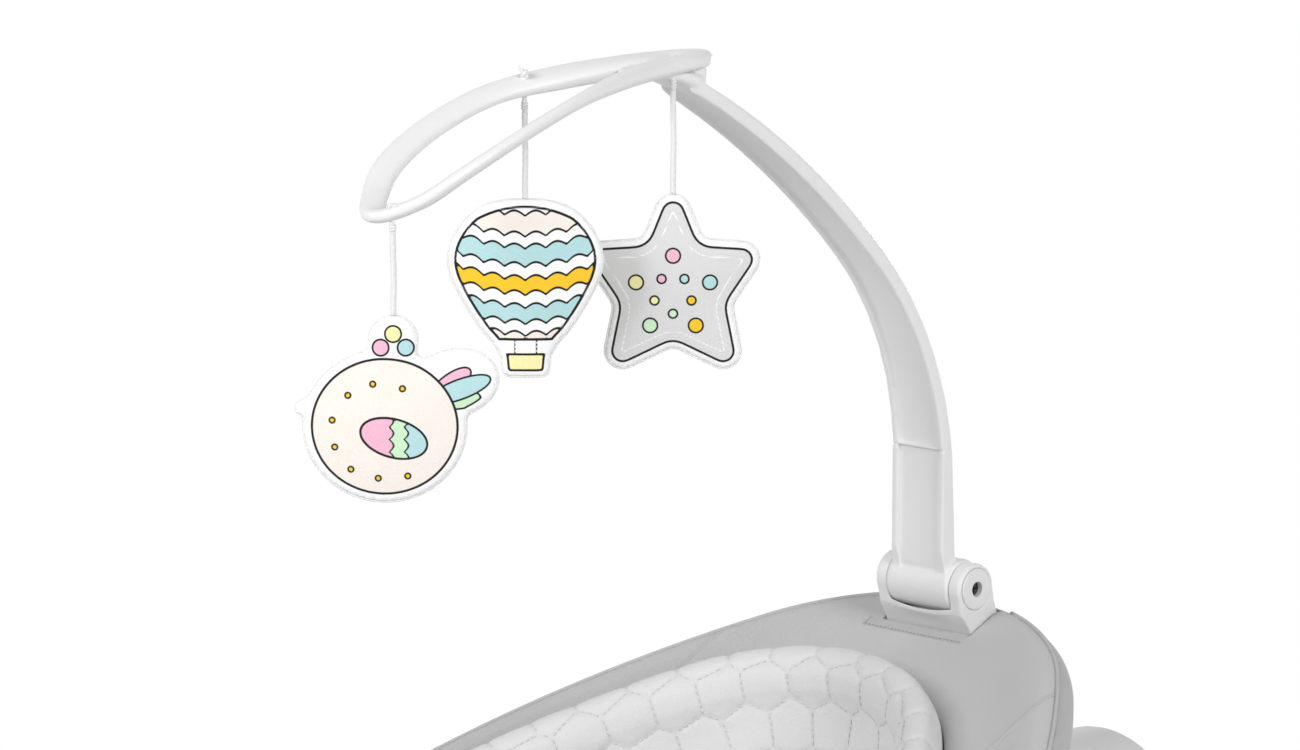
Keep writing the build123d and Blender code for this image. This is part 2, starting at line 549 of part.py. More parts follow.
# Seat frame, in seat coordinates
def seat_frame():
    tube_r = RIM_TUBE_D / 2
    arcs = oval(RIM_HALF_LENGTH, RIM_HALF_WIDTH, RIM_END_RADIUS)
    head_path, foot_path = Wire(arcs[:3]), Wire(arcs[3:])
    keep("rim_tube_head", SEAT * pipe(head_path, tube_r, tube_r - RIM_TUBE_WALL))
    keep("rim_tube_foot", SEAT * pipe(foot_path, tube_r, tube_r - RIM_TUBE_WALL))
    side = arcs[0]
    side_radius = side.radius
    span = math.degrees(30.0 / side_radius)
    centre_x = RIM_HALF_WIDTH - side_radius
    overlap = Wire([CenterArc((centre_x, 0), side_radius, -span, 2 * span)])
    spigot = pipe(overlap, tube_r - RIM_TUBE_WALL - 0.1)
    keep("rim_spigots", Compound(children=[SEAT * spigot, SEAT * mirror(spigot, Plane.YZ)]))

    half = BOW_WIDTH / 2
    ring = Ellipse(BOW_HALF_WIDTH, BOW_DEPTH)
    ring -= Ellipse(BOW_HALF_WIDTH - BOW_THICKNESS, BOW_DEPTH - BOW_THICKNESS)
    ring &= Pos(0, -BOW_DEPTH) * Rectangle(3 * BOW_HALF_WIDTH, 2 * BOW_DEPTH)
    bow = prism_y(ring, -half, half)
    clamp = block(RIM_HALF_WIDTH - 14, BOW_HALF_WIDTH, -half - 2, half + 2, -14, 14)
    clamp = fillet(clamp.edges().filter_by(Axis.Y), 4.0)
    bow += both_sides(clamp)
    bow -= pipe(Wire(arcs), tube_r + 0.1)
    keep("seat_bow", SEAT * bow)

    lug_half = EAR_INNER_X - 0.5
    cradle = block(-32, 32, -26, 26, -BOW_DEPTH - 9, -BOW_DEPTH + 8)
    cradle = fillet(cradle.edges().filter_by(Axis.Z), 6.0)
    cradle -= prism_y(Ellipse(BOW_HALF_WIDTH + 0.05, BOW_DEPTH + 0.05), -half - 0.1, half + 0.1)
    cradle += block(-lug_half, lug_half, -12, 12, -RECLINE_DEPTH, -BOW_DEPTH - 8)
    cradle += rod_x(14.0, -lug_half, lug_half, 0, -RECLINE_DEPTH)
    cradle -= rod_x(RECLINE_PIN_D / 2 + RUNNING_CLEARANCE, -lug_half - 1, lug_half + 1, 0, -RECLINE_DEPTH)
    keep("seat_bracket", SEAT * cradle)
    return head_path


# Soft lining and harness, in seat coordinates
def soft_seat():
    roll = FABRIC_ROLL
    rim = oval(RIM_HALF_LENGTH, RIM_HALF_WIDTH, RIM_END_RADIUS)
    rows = (
        (0.0, 4, 4, 0.59, 0),
        (-34.0, 30, 14, 0.64, -4),
        (-76.0, 96, 48, 0.7, -20),
        (-112.0, 160, 84, 0.76, -36),
        (-144.0, 232, 126, 0.82, -50),
    )
    levels = []
    for n, long, wide, roundness, shift in rows:
        width = RIM_HALF_WIDTH - wide
        levels.append((n, RIM_HALF_LENGTH - long, width, width * roundness, shift))
    skin = bowl(levels)
    skin += extrude(Pos(0, 0, -4) * make_face(Wire(rim)), amount=4 + roll)
    skin += pipe(Wire(rim), roll)
    cover = skin - hollow(0)
    cover -= pipe(Wire(rim), RIM_TUBE_D / 2 + SOFT_GAP)
    notch = block(RIM_HALF_WIDTH - 15, BOW_HALF_WIDTH + 4, -BOW_WIDTH / 2 - 3, BOW_WIDTH / 2 + 3, -30, 24)
    cover -= both_sides(notch)
    half = HINGE_WIDTH / 2 + 1.0
    cover -= block(-half, half, RIM_HALF_LENGTH - 22, RIM_HALF_LENGTH + 3.5, -15, 24)
    keep("seat_cover", SEAT * cover)

    inset = INSERT_THICKNESS + SOFT_GAP
    pad = hollow(SOFT_GAP) - hollow(inset)
    pad -= block(-400, 400, -500, 500, INSERT_TOP, 200)
    pad = fillet(pad.faces().sort_by(Axis.Z)[-1].edges(), INSERT_THICKNESS * 0.42)
    keep("seat_insert", SEAT * pad)

    floor_n = -130.0 + inset
    lying = hollow(inset + SOFT_GAP)
    dome = Pos(0, 162, -80) * Rot(24, 0, 0) * scale(Sphere(10), by=(8.6, 5.4, 3.0))
    keep("head_pillow", SEAT * (dome & lying))

    on_pad = inset + SOFT_GAP
    on_strap = on_pad + STRAP_THICKNESS + SOFT_GAP
    half = STRAP_WIDTH / 2
    top_u = BUCKLE_U + BUCKLE_LENGTH / 2 + 0.5
    strap = Pos(STRAP_X, (top_u + 100) / 2) * Rectangle(STRAP_WIDTH, 100 - top_u)
    strap = layer(strap, on_pad, on_pad + STRAP_THICKNESS)
    keep("shoulder_straps", SEAT * both_sides(strap))
    guard = layer(Pos(STRAP_X, 52) * RectangleRounded(STRAP_WIDTH + 8, 76, 8), on_strap, on_strap + 7)
    keep("strap_pads", SEAT * both_sides(guard))
    side_x = BUCKLE_WIDTH / 2 + 0.5
    waist = Pos((side_x + 96) / 2, BUCKLE_U) * Rectangle(96 - side_x, STRAP_WIDTH)
    waist = layer(waist, on_pad, on_pad + STRAP_THICKNESS)
    keep("waist_straps", SEAT * both_sides(waist))
    low_u = BUCKLE_U - BUCKLE_LENGTH / 2 - 0.5
    crotch = Pos(0, (low_u - 118) / 2) * Rectangle(STRAP_WIDTH + 8, low_u + 118)
    crotch = layer(crotch, on_pad, on_pad + STRAP_THICKNESS)
    keep("crotch_strap", SEAT * crotch)

    base_n = floor_n + SOFT_GAP
    buckle = Pos(0, BUCKLE_U, base_n) * RectangleRounded(BUCKLE_WIDTH, BUCKLE_LENGTH, 12)
    buckle = extrude(buckle, amount=BUCKLE_HEIGHT)
    buckle = chamfer(buckle.faces().sort_by(Axis.Z)[-1].edges(), 3.0)
    top_n = base_n + BUCKLE_HEIGHT
    buckle -= rod_z(BUCKLE_BUTTON_D / 2 + 0.1, top_n - 9, top_n + 1, 0, BUCKLE_U)
    keep("buckle", SEAT * buckle)
    button = rod_z(BUCKLE_BUTTON_D / 2, top_n - 5.5, top_n + 1.0, 0, BUCKLE_U)
    button = chamfer(button.edges().group_by(Axis.Z)[-1], 0.8)
    keep("buckle_button", SEAT * button)


# Toy bar bracket, hinge and arm, in coordinates of the hinge
def toy_bar(head_path):
    half = HINGE_WIDTH / 2
    gap = CHEEK_GAP / 2
    tube_y, tube_z = seat_point(RIM_HALF_LENGTH, 0)
    tube_y -= HINGE_Y
    tube_z -= HINGE_Z

    def foot_point(u, n):
        return tube_y + u * COS_TILT - n * SIN_TILT, tube_z + u * SIN_TILT + n * COS_TILT

    body = make_face(Polyline(
        (-CHEEK_RADIUS, 0), (-10.0, -12.6), foot_point(-20, FABRIC_ROLL + 0.8), foot_point(-20, -13),
        foot_point(1.5, -13), foot_point(1.5, FABRIC_ROLL), (CHEEK_RADIUS, 0), close=True))
    bracket = prism_x(body, -half, half) + rod_x(CHEEK_RADIUS, -half, half)
    bracket = round_edges(bracket, 2.2, lambda c: abs(abs(c.X) - half) < 0.01 and c.Z > tube_z + 14)
    bracket -= rod_x(BARREL_RADIUS + 0.8, -gap, gap)
    bracket -= rod_x(BUSH_RADIUS + 0.05, -half - 1, half + 1)
    bracket -= HINGE.inverse() * (SEAT * pipe(head_path, RIM_TUBE_D / 2 + 0.1))
    bracket = bracket.solids().sort_by(SortBy.VOLUME)[-1]
    keep("toy_bracket", HINGE * bracket)

    bush = rod_x(BUSH_RADIUS, gap, half + 0.3) + rod_x(TRUNNION_RADIUS, 10, gap)
    bush = chamfer(bush.edges().group_by(Axis.X)[-1], 0.5)
    bush -= rod_x(SCREW_D / 2 + 0.1, 0, half + 2)
    bush -= rod_x(3.75, half - 4.5, half + 2)
    keep("pivot_bushes", Compound(children=[HINGE * bush, HINGE * mirror(bush, Plane.YZ)]))
    head = rod_x(3.5, half - 4.5, half - 2.3)
    head -= block(half - 3.4, half, -2.4, 2.4, -0.45, 0.45)
    head -= block(half - 3.4, half, -0.45, 0.45, -2.4, 2.4)
    screw = head + rod_x(SCREW_D / 2, -half + 1.5, half - 4.5)
    screw += prism_x(RegularPolygon(3.6, 6), -half + 1.6, -half + 4.4)
    keep("hinge_screw", HINGE * screw)

    toy_arm(half)


def toy_arm(half):
    """The arm's foot with its barrel, and the curved channelled arm that plugs onto it."""
    wide = ARM_BASE_WIDTH / 2
    front_y = ARM_FRONT
    back_y = front_y + ARM_DEPTH
    neck = make_face(Polyline(
        (front_y, 0), (front_y, ARM_SEAM_Z), (back_y, ARM_SEAM_Z), (-2.0, 8.0), (-2.0, 0), close=True))
    base = prism_x(neck, -wide, wide)
    base = round_edges(
        base, ARM_BACK_ROUND,
        lambda c: abs(abs(c.X) - wide) < 0.01 and c.Y > back_y - 0.5 and 5 < c.Z < ARM_SEAM_Z - 1)
    base -= block(FLANGE - wide, wide - FLANGE, front_y - 5, front_y + CHANNEL_DEPTH, -1, ARM_SEAM_Z + 1)
    barrel = rod_x(BARREL_RADIUS, -BARREL_LENGTH / 2, BARREL_LENGTH / 2)
    base += chamfer(barrel.edges(), 0.8)
    base -= rod_x(TRUNNION_RADIUS + RUNNING_CLEARANCE, -half, half)
    tongue_y = front_y + CHANNEL_DEPTH + 1.3
    tongue_back = back_y - 1.6
    base += block(-9, 9, tongue_y, tongue_back, ARM_SEAM_Z - 2, ARM_SEAM_Z + 18)
    keep("arm_base", HINGE * base)

    seam = ARM_SEAM_Z + 0.2
    front1 = TangentArc((front_y, seam), (-58.0, 166.4), tangent=(-0.09, 1))
    front2 = TangentArc(front1 @ 1, (-200.0, 266.5), tangent=front1 % 1)
    back1 = TangentArc((back_y, seam), (-51.4, 171.4), tangent=(-0.09, 1))
    back2 = TangentArc(back1 @ 1, (-193.0, 270.5), tangent=back1 % 1)
    side = make_face(Wire([
        front1, front2, Line(front2 @ 1, back2 @ 1), back2, back1, Line(back1 @ 0, front1 @ 0)]))
    tip_z = (back2 @ 1).Y
    tip = ARM_TIP_WIDTH / 2
    arm = prism_x(side, -wide, wide)
    arm &= prism_y(arm_taper(wide, tip, seam, tip_z + 10), -300, 50)
    behind = [e for e in arm.edges() if abs(e.center().X) > tip - 1 and e.length > 60]
    behind = sorted(behind, key=lambda e: e.center().Y + e.center().Z)[-4:]
    arm = fillet(behind, ARM_BACK_ROUND)
    arm &= prism_z(Rectangle(60, 2 * 170) + Pos(0, -170) * Ellipse(tip, 18), 0, 400)
    groove = prism_x(make_face(Wire([
        front1, front2, Line(front2 @ 1, (-215, 240)), Line((-215, 240), (-215, seam)),
        Line((-215, seam), front1 @ 0)])), -wide, wide)
    lift = Pos(0, CHANNEL_DEPTH * 0.8, CHANNEL_DEPTH * 0.6)
    groove = (lift * groove) & prism_y(arm_taper(wide - FLANGE, tip - FLANGE, seam, 262), -190, 50)
    arm -= groove
    neck = prism_z(Pos(0, -178) * RectangleRounded(17, 22, 6), 240, 300)
    neck &= prism_x(make_face(Wire([
        back2, back1, Line(back1 @ 0, (80, seam)), Line((80, seam), (80, 300)),
        Line((80, 300), (-193, 300)), Line((-193, 300), back2 @ 1)])), -20, 20)
    arm += neck
    arm -= loop_band(-LOOP_THICKNESS / 2 - RUNNING_CLEARANCE, 40.0)
    arm -= block(-9.1, 9.1, tongue_y - 0.1, tongue_back + 0.1, seam - 1, seam + 18.5)
    arm = arm.solids().sort_by(SortBy.VOLUME)[-1]
    keep("toy_arm", HINGE * arm)


def arm_taper(wide, tip, seam, top):
    """The arm seen from the front: wide at its foot, narrower towards its tip."""
    mid = tip + 0.7
    return make_face(Polyline(
        (-wide, 0), (-wide, seam), (-mid, 170), (-tip, top),
        (tip, top), (mid, 170), (wide, seam), (wide, 0), close=True))


def loop_arc():
    """The loop's centreline seen from the side."""
    return ThreePointArc((-150, 271.8), (-256, 255.4), (-378, 209.6))


def dish_rise(x):
    """How far the loop's sides turn up, at a distance from its middle."""
    return LOOP_DISH_RADIUS - math.sqrt(LOOP_DISH_RADIUS ** 2 - x ** 2)


def loop_height(x, y):
    """Height of the loop's middle surface above the hinge."""
    arc = loop_arc()
    return arc.arc_center.Y + math.sqrt((arc.radius + dish_rise(x)) ** 2 - (y - arc.arc_center.X) ** 2)


def loop_band(low, high):
    """A dished and curved sheet between two distances from the loop's middle surface."""
    arc = loop_arc()
    axis_y, axis_z = arc.arc_center.X, arc.arc_center.Y
    w = LOOP_HALF_WIDTH
    top = arc.radius + high
    under = ThreePointArc(
        (-w, arc.radius + dish_rise(w) + low), (0, arc.radius + low), (w, arc.radius + dish_rise(w) + low))
    if high < LOOP_THICKNESS:
        over = ThreePointArc((w, top + dish_rise(w)), (0, top), (-w, top + dish_rise(w)))
    else:
        over = Line((w, top), (-w, top))
    profile = make_face(Wire([under, Line(under @ 1, over @ 0), over, Line(over @ 1, under @ 0)]))
    sheet = revolve(Plane.XZ * profile, Axis.X, revolution_arc=70)
    return Pos(0, axis_y, axis_z) * Rot(-15, 0, 0) * sheet


def toy_loop():
    outer = Spline((0, -375), (20, -356), (30.6, -318), (29.4, -272), (20, -228), (13.4, -192),
                   tangents=((1, 0), (-0.1, 1)))
    root = Spline((13.4, -192), (12.4, -167), (0, -153.5), tangents=((-0.1, 1), (-1, 0)))
    inner = Spline((0, -364), (13, -348), (22.4, -314), (21.2, -272), (12.2, -228), (0, -183),
                   tangents=((1, 0), (-0.5, 1)))
    half = make_face(Wire([outer, root, Line((0, -153.5), (0, -183)), inner, Line((0, -364), (0, -375))]))
    plan = half + mirror(half, Plane.YZ)
    loop = loop_band(-LOOP_THICKNESS / 2, LOOP_THICKNESS / 2) & prism_z(plan, 150, 330)
    for _, x, y, *_ in TOY_PLACES:
        loop -= rod_z(TIE_HOLE_D / 2, 150, 330, x, y)
    keep("toy_loop", HINGE * loop)


def tie(x, y, top, bottom):
    """A cord end through a hole in the loop, with a stopper knot on top."""
    stem = rod_z(TIE_D / 2, bottom, top, x, y)
    return stem + Pos(x, y, top) * Sphere(KNOT_RADIUS)


def padded_toy(outline, middle):
    """A flat stuffed shape: full outline in the middle, drawn in towards both faces."""
    small = Pos(0, middle) * scale(Pos(0, -middle) * outline, by=0.84)
    half = TOY_THICKNESS / 2
    return loft([Pos(0, 0, -half) * small, outline, Pos(0, 0, half) * small], ruled=True)


def star_outline():
    """A plump star with raised side arms, its five tips and five notches rounded."""
    points = []
    for (turn, reach), (notch_turn, notch_reach) in zip(STAR_TIPS, STAR_NOTCHES):
        points.append((reach * math.cos(math.radians(turn)), reach * math.sin(math.radians(turn))))
        turn = math.radians(notch_turn)
        points.append((notch_reach * math.cos(turn), notch_reach * math.sin(turn)))
    face = make_face(Polyline(*points, close=True))
    tips = [v for v in face.vertices() if math.hypot(v.X, v.Y) > STAR_SPLIT]
    face = fillet(tips, STAR_TIP_ROUND)
    notches = [v for v in face.vertices() if any(math.hypot(v.X - x, v.Y - y) < 0.1 for x, y in points[1::2])]
    return fillet(notches, STAR_NOTCH_ROUND)


def balloon_outline():
    """A hot-air balloon from the side: broad crown, sides that draw in to the neck, and a basket."""
    r, tall, neck = BALLOON_RADIUS, BALLOON_HEIGHT, BALLOON_NECK / 2
    side = Spline((0, 0), (0.71 * r, -0.1 * tall), (r, -0.35 * tall), (0.84 * r, -0.63 * tall),
                  (0.5 * r, -0.88 * tall), (neck, -tall), tangents=((1, 0), (-0.5, -0.87)))
    low = (neck - 0.8, -tall - BASKET_HEIGHT)
    half = make_face(Wire([side, Line((neck, -tall), low), Line(low, (0, low[1])), Line((0, low[1]), (0, 0))]))
    face = half + mirror(half, Plane.YZ)
    return fillet(face.vertices().group_by(Axis.Y)[0], 3.5)


def bird_outline():
    """A plump bird from the side: round body, small crest, short beak and a raised tail."""
    face = Pos(0, -49) * Rot(0, 0, 90) * Ellipse(34, 36)
    face += Pos(BIRD_CREST_X, -11) * Rot(0, 0, -90) * Ellipse(11, 11)
    face += Pos(30.5, -30) * Rot(0, 0, 194) * Ellipse(20, 15)
    face += make_face(Polyline((-30, -33), (-42, -41), (-30, -49), close=True))
    return fillet(face.vertices(), BIRD_CORNER)


def hung_toys():
    view = math.radians(TOY_TURN)
    right = (math.cos(view), math.sin(view), 0)
    facing = (math.sin(view), -math.cos(view), 0)
    outlines = {"star": star_outline(), "balloon": balloon_outline(), "bird": bird_outline()}
    arc = loop_arc()
    ties = []
    for name, x, y, length in TOY_PLACES:
        run = math.asin((y - arc.arc_center.X) / arc.radius)
        lean = math.cos(math.asin(x / LOOP_DISH_RADIUS)) * math.cos(run)
        seat = (LOOP_THICKNESS / 2 + KNOT_RADIUS + KNOT_GAP) / lean
        z = loop_height(x, y)
        knot_z = z - seat
        ties.append(HINGE * tie(x, y, z + seat, knot_z + KNOT_RADIUS + KNOT_GAP))
        keep(name + "_knot", HINGE * Pos(x, y, knot_z) * Sphere(KNOT_RADIUS))
        top = knot_z - KNOT_RADIUS - KNOT_GAP
        keep(name + "_cord", HINGE * rod_z(CORD_D / 2, top - length, top, x, y))
        outline = outlines[name]
        outline = Pos(-outline.center().X, 0) * outline
        middle = outline.center().Y
        rise = outline.bounding_box().max.Y
        frame = Plane((x, y, top - length - 0.2 - rise), x_dir=right, z_dir=facing)
        keep(name + "_toy", HINGE * (frame * padded_toy(outline, middle)))
        print(name, "knot at", [round(v, 4) for v in (x, HINGE_Y + y, HINGE_Z + knot_z)])
    keep("cord_ties", Compound(children=ties))


tower(floor_ring())
pendulum()
head_path = seat_frame()
soft_seat()
toy_bar(head_path)
toy_loop()
hung_toys()

for name, shape in PARTS.items():
    export_step(shape, os.path.join("parts", name + ".step"))
print(len(PARTS), "pieces written")
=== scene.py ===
import json
import math

import bpy
import numpy as np
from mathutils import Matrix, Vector, noise
from mathutils.bvhtree import BVHTree
from mathutils.geometry import delaunay_2d_cdt
from mathutils.kdtree import KDTree


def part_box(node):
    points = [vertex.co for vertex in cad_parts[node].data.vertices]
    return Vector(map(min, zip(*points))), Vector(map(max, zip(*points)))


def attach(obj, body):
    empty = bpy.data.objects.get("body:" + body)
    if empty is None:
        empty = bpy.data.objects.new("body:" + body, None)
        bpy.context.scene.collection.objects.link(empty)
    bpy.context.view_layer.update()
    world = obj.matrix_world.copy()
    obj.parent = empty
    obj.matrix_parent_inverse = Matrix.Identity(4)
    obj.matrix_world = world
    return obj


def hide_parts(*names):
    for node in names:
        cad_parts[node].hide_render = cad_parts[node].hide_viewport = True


# Looks of a baby swing with a folding toy bar: finishes for the moulded and metal parts, and modelled soft
# parts, cords and toys. Soft parts are worked out in millimetres and placed in metres.

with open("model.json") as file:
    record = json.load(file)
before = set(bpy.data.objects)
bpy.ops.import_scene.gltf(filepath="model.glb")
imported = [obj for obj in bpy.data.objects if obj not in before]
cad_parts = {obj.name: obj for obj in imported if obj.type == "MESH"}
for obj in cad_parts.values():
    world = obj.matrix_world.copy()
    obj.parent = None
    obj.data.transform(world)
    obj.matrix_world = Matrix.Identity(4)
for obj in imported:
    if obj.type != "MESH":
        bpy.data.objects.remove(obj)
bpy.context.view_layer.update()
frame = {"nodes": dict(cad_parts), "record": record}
NODES = frame["nodes"]

MM = 0.001

# Camera, set to the photograph's viewing angle
VIEW_TURN = math.radians(45.5)
VIEW_RISE = math.radians(9.0)
CAMERA_PLACE = Vector((1.50926, -1.42175, 1.04893))
LENS_MM = 127.4
SENSOR_MM = 36.0

# Seat frame: x across, u towards the head, n square to the rim
SEAT_TILT = math.radians(22.0)
SEAT_Y = -45.0
SEAT_Z = 430.0
RIM = (350.0, 200.0, 118.0, 0.0)
ROLL = 14.0
INSERT_THICKNESS = 22.0
SOFT_GAP = 0.4

# Rows of the seat's inside: n, shrink along, shrink across, roundness, shift, how much the wall faces up
HOLLOW_ROWS = (
    (60.0, 60, 28, 0.62, -6, 0.0),
    (8.0, 62, 30, 0.62, -6, 0.0),
    (-35.0, 80, 42, 0.66, -12, 0.25),
    (-80.0, 128, 70, 0.72, -26, 0.55),
    (-112.0, 190, 104, 0.78, -42, 0.85),
    (-130.0, 245, 134, 0.82, -52, 1.0),
)
# Rows of the seat's outside: n, shrink along, shrink across, roundness, shift
SKIN_ROWS = (
    (-20.0, 17, 9, 0.61, -2),
    (-34.0, 30, 14, 0.64, -4),
    (-76.0, 96, 48, 0.7, -20),
    (-112.0, 160, 84, 0.76, -36),
    (-144.0, 232, 126, 0.82, -50),
)


def seat_to_row(points):
    """Seat coordinates (x, u, n) in millimetres to the row frame in metres."""
    p = np.asarray(points, float)
    cos, sin = math.cos(SEAT_TILT), math.sin(SEAT_TILT)
    y = SEAT_Y + p[..., 1] * cos - p[..., 2] * sin
    z = SEAT_Z + p[..., 1] * sin + p[..., 2] * cos
    return np.stack([p[..., 0], y, z], -1) * MM


def row_to_seat(points):
    """The row frame in metres to seat coordinates in millimetres."""
    p = np.asarray(points, float) / MM
    cos, sin = math.cos(SEAT_TILT), math.sin(SEAT_TILT)
    y, z = p[..., 1] - SEAT_Y, p[..., 2] - SEAT_Z
    return np.stack([p[..., 0], y * cos + z * sin, z * cos - y * sin], -1)


# Numbers and lines
def turns(count):
    """Angles of one whole turn in even steps."""
    return np.arange(count) / count * 2 * math.pi


def unit(vectors):
    return vectors / np.linalg.norm(vectors, axis=-1, keepdims=True)


def squarish(wave, power):
    """A sine or cosine, fuller the lower the power."""
    return np.sign(wave) * np.abs(wave) ** power


def ease(value, low, high):
    """From 0 at low to 1 at high, level at both ends."""
    share = np.clip((value - low) / (high - low), 0, 1)
    return share * share * (3 - 2 * share)


def run_of(points):
    """Length along a line up to each of its points."""
    return np.r_[0, np.cumsum(np.linalg.norm(np.diff(points, axis=0), axis=1))]


def at_lengths(run, values, spots):
    """A line's values at given lengths along it."""
    return np.stack([np.interp(spots, run, column) for column in values.T], -1)


def resample(points, step):
    """Points at even steps along a line."""
    run = run_of(points)
    return at_lengths(run, points, np.linspace(0, run[-1], max(2, int(round(run[-1] / step)) + 1)))


# Meshes
def link(name, data):
    """A new object in the scene."""
    obj = bpy.data.objects.new(name, data)
    bpy.context.scene.collection.objects.link(obj)
    return obj


def piece(name, points, faces, material, body, slot=None, uvs=None):
    """A smooth mesh in the row frame that rides on a body. uvs gives one pair for each point."""
    mesh = bpy.data.meshes.new(name)
    mesh.from_pydata(np.asarray(points, float).tolist(), [], faces)
    mesh.polygons.foreach_set("use_smooth", [True] * len(mesh.polygons))
    if uvs is not None:
        layer = mesh.uv_layers.new(name="weave")
        corners = np.zeros(len(mesh.loops), np.int32)
        mesh.loops.foreach_get("vertex_index", corners)
        layer.data.foreach_set("uv", np.asarray(uvs, np.float32)[corners].ravel())
    mesh.materials.append(material)
    mesh.update()
    obj = link(name, mesh)
    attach(obj, body)
    return obj


def attribute(obj, name, values):
    """Store one number for each point of a mesh."""
    layer = obj.data.attributes.new(name, "FLOAT", "POINT")
    layer.data.foreach_set("value", np.asarray(values, np.float32))


def ring_faces(rows, cols, closed=False):
    """Faces of rings of points, joined row to row. The last row joins the first, or each end gets a face."""
    faces = []
    for i in range(rows if closed else rows - 1):
        this, other = i * cols, (i + 1) % rows * cols
        for j in range(cols):
            k = (j + 1) % cols
            faces.append((this + j, this + k, other + k, other + j))
    if not closed:
        faces.append(tuple(range(cols - 1, -1, -1)))
        faces.append(tuple(range((rows - 1) * cols, rows * cols)))
    return faces


def smooth_rows(rows, steps):
    """Smooth values through rows of numbers, with a number of steps for each gap."""
    rows = np.asarray(rows, float)
    padded = np.vstack([2 * rows[0] - rows[1], rows, 2 * rows[-1] - rows[-2]])
    out = []
    for i, count in enumerate(steps):
        a, b, c, d = padded[i:i + 4]
        for t in np.arange(count) / count:
            out.append(0.5 * (2 * b + (c - a) * t + (2 * a - 5 * b + 4 * c - d) * t ** 2
                              + (3 * b - a - 3 * c + d) * t ** 3))
    out.append(rows[-1])
    return np.array(out)


def oval(half_length, half_width, end_radius, shift, headings):
    """Points (x, u) of a four-arc oval where its outward normal has the given headings."""
    reach = half_length - end_radius
    side_radius = (reach ** 2 + half_width ** 2 - end_radius ** 2) / (2 * (half_width - end_radius))
    side_x = side_radius - half_width
    turn = math.atan2(reach, side_x)
    c, s = np.cos(headings), np.sin(headings)
    at_end = np.abs(s) > math.sin(turn)
    x = np.where(at_end, end_radius * c, side_radius * c - np.sign(c) * side_x)
    u = np.where(at_end, end_radius * s + np.sign(s) * reach, side_radius * s)
    return np.stack([x, u + shift], -1)


def even_headings(count):
    """Headings that divide the rim's oval into even lengths, from the right side."""
    fine = np.linspace(0, 2 * math.pi, 6001)
    length = run_of(oval(*RIM, fine))
    return np.interp(np.arange(count) / count * length[-1], length, fine)


def rings(levels, headings):
    """Rings (x, u, n) for rows of half length, half width, end radius, shift and n."""
    made = []
    for length, width, radius, shift, n in levels:
        flat = oval(length, width, radius, shift, headings)
        made.append(np.c_[flat, np.full(len(headings), n)])
    return np.array(made)


def closing_rows(level, steps):
    """Rows that draw a level's oval in to its middle."""
    length, width, radius, shift, n = level
    return [(length * k, width * k, radius * k, shift, n) for k in np.linspace(1, 0.03, steps + 1)[1:]]


def hollow_levels(inset):
    """The seat's inside, drawn in by the inset, from its floor up to the rim."""
    levels = []
    for n, along, across, roundness, shift, up in HOLLOW_ROWS[:0:-1]:
        side = inset * math.sqrt(max(1 - up ** 2, 0.12))
        width = RIM[1] - across
        levels.append((RIM[0] - along - side, width - side, width * roundness - side, shift, n + inset * up))
    return levels


def grid_normals(points):
    """Outward unit normals of rings of points."""
    along = np.gradient(points, axis=0)
    around = np.roll(points, -1, 1) - np.roll(points, 1, 1)
    normal = np.cross(around, along)
    size = np.linalg.norm(normal, axis=-1, keepdims=True)
    return normal / np.maximum(size, 1e-9)


def ring_uvs(points):
    """Lengths around and along rings of points, in metres, for a weave."""
    around = np.linalg.norm(np.diff(points, axis=1, append=points[:, :1]), axis=-1)
    middle = np.cumsum(around[len(points) // 2])
    along = np.linalg.norm(np.diff(points, axis=0, prepend=points[:1]), axis=-1).mean(1).cumsum()
    grid = np.stack(np.broadcast_arrays(middle[None, :], along[:, None]), -1)
    return grid.reshape(-1, 2) * MM


def ruffle(points, scale, seed):
    """Smooth noise from -1 to 1 at points in millimetres."""
    return np.array([noise.noise(Vector(p) * scale + Vector((seed, 0, 0))) for p in points])


def tree_of(points, faces):
    return BVHTree.FromPolygons(np.asarray(points, float).tolist(), faces)


def mesh_parts(obj):
    """A mesh's points in metres, and its faces."""
    return np.array([v.co for v in obj.data.vertices]), [tuple(p.vertices) for p in obj.data.polygons]


def get_points(mesh):
    points = np.zeros(len(mesh.vertices) * 3)
    mesh.vertices.foreach_get("co", points)
    return points.reshape(-1, 3)


def set_points(mesh, points):
    mesh.vertices.foreach_set("co", np.ravel(points))
    mesh.update()


def bake_modifiers(obj, smooth=True):
    """Replace an object's mesh by what its modifiers make of it."""
    bpy.context.view_layer.update()
    graph = bpy.context.evaluated_depsgraph_get()
    made = bpy.data.meshes.new_from_object(obj.evaluated_get(graph))
    obj.modifiers.clear()
    old, obj.data = obj.data, made
    bpy.data.meshes.remove(old)
    if smooth:
        made.polygons.foreach_set("use_smooth", [True] * len(made.polygons))


def voxel_remesh(obj, voxel_mm):
    """One even skin over all that a mesh's closed parts enclose."""
    remesh = obj.modifiers.new("remesh", "REMESH")
    remesh.mode = "VOXEL"
    remesh.voxel_size = voxel_mm * MM
    bake_modifiers(obj)


# How deep the grooves between a cord's strands are, as a share of its radius
STRAND_DEPTH = 0.10
# A direction that no path starts along
UNLIKE_ANY_RUN = (0.3, 0.2, 0.93)


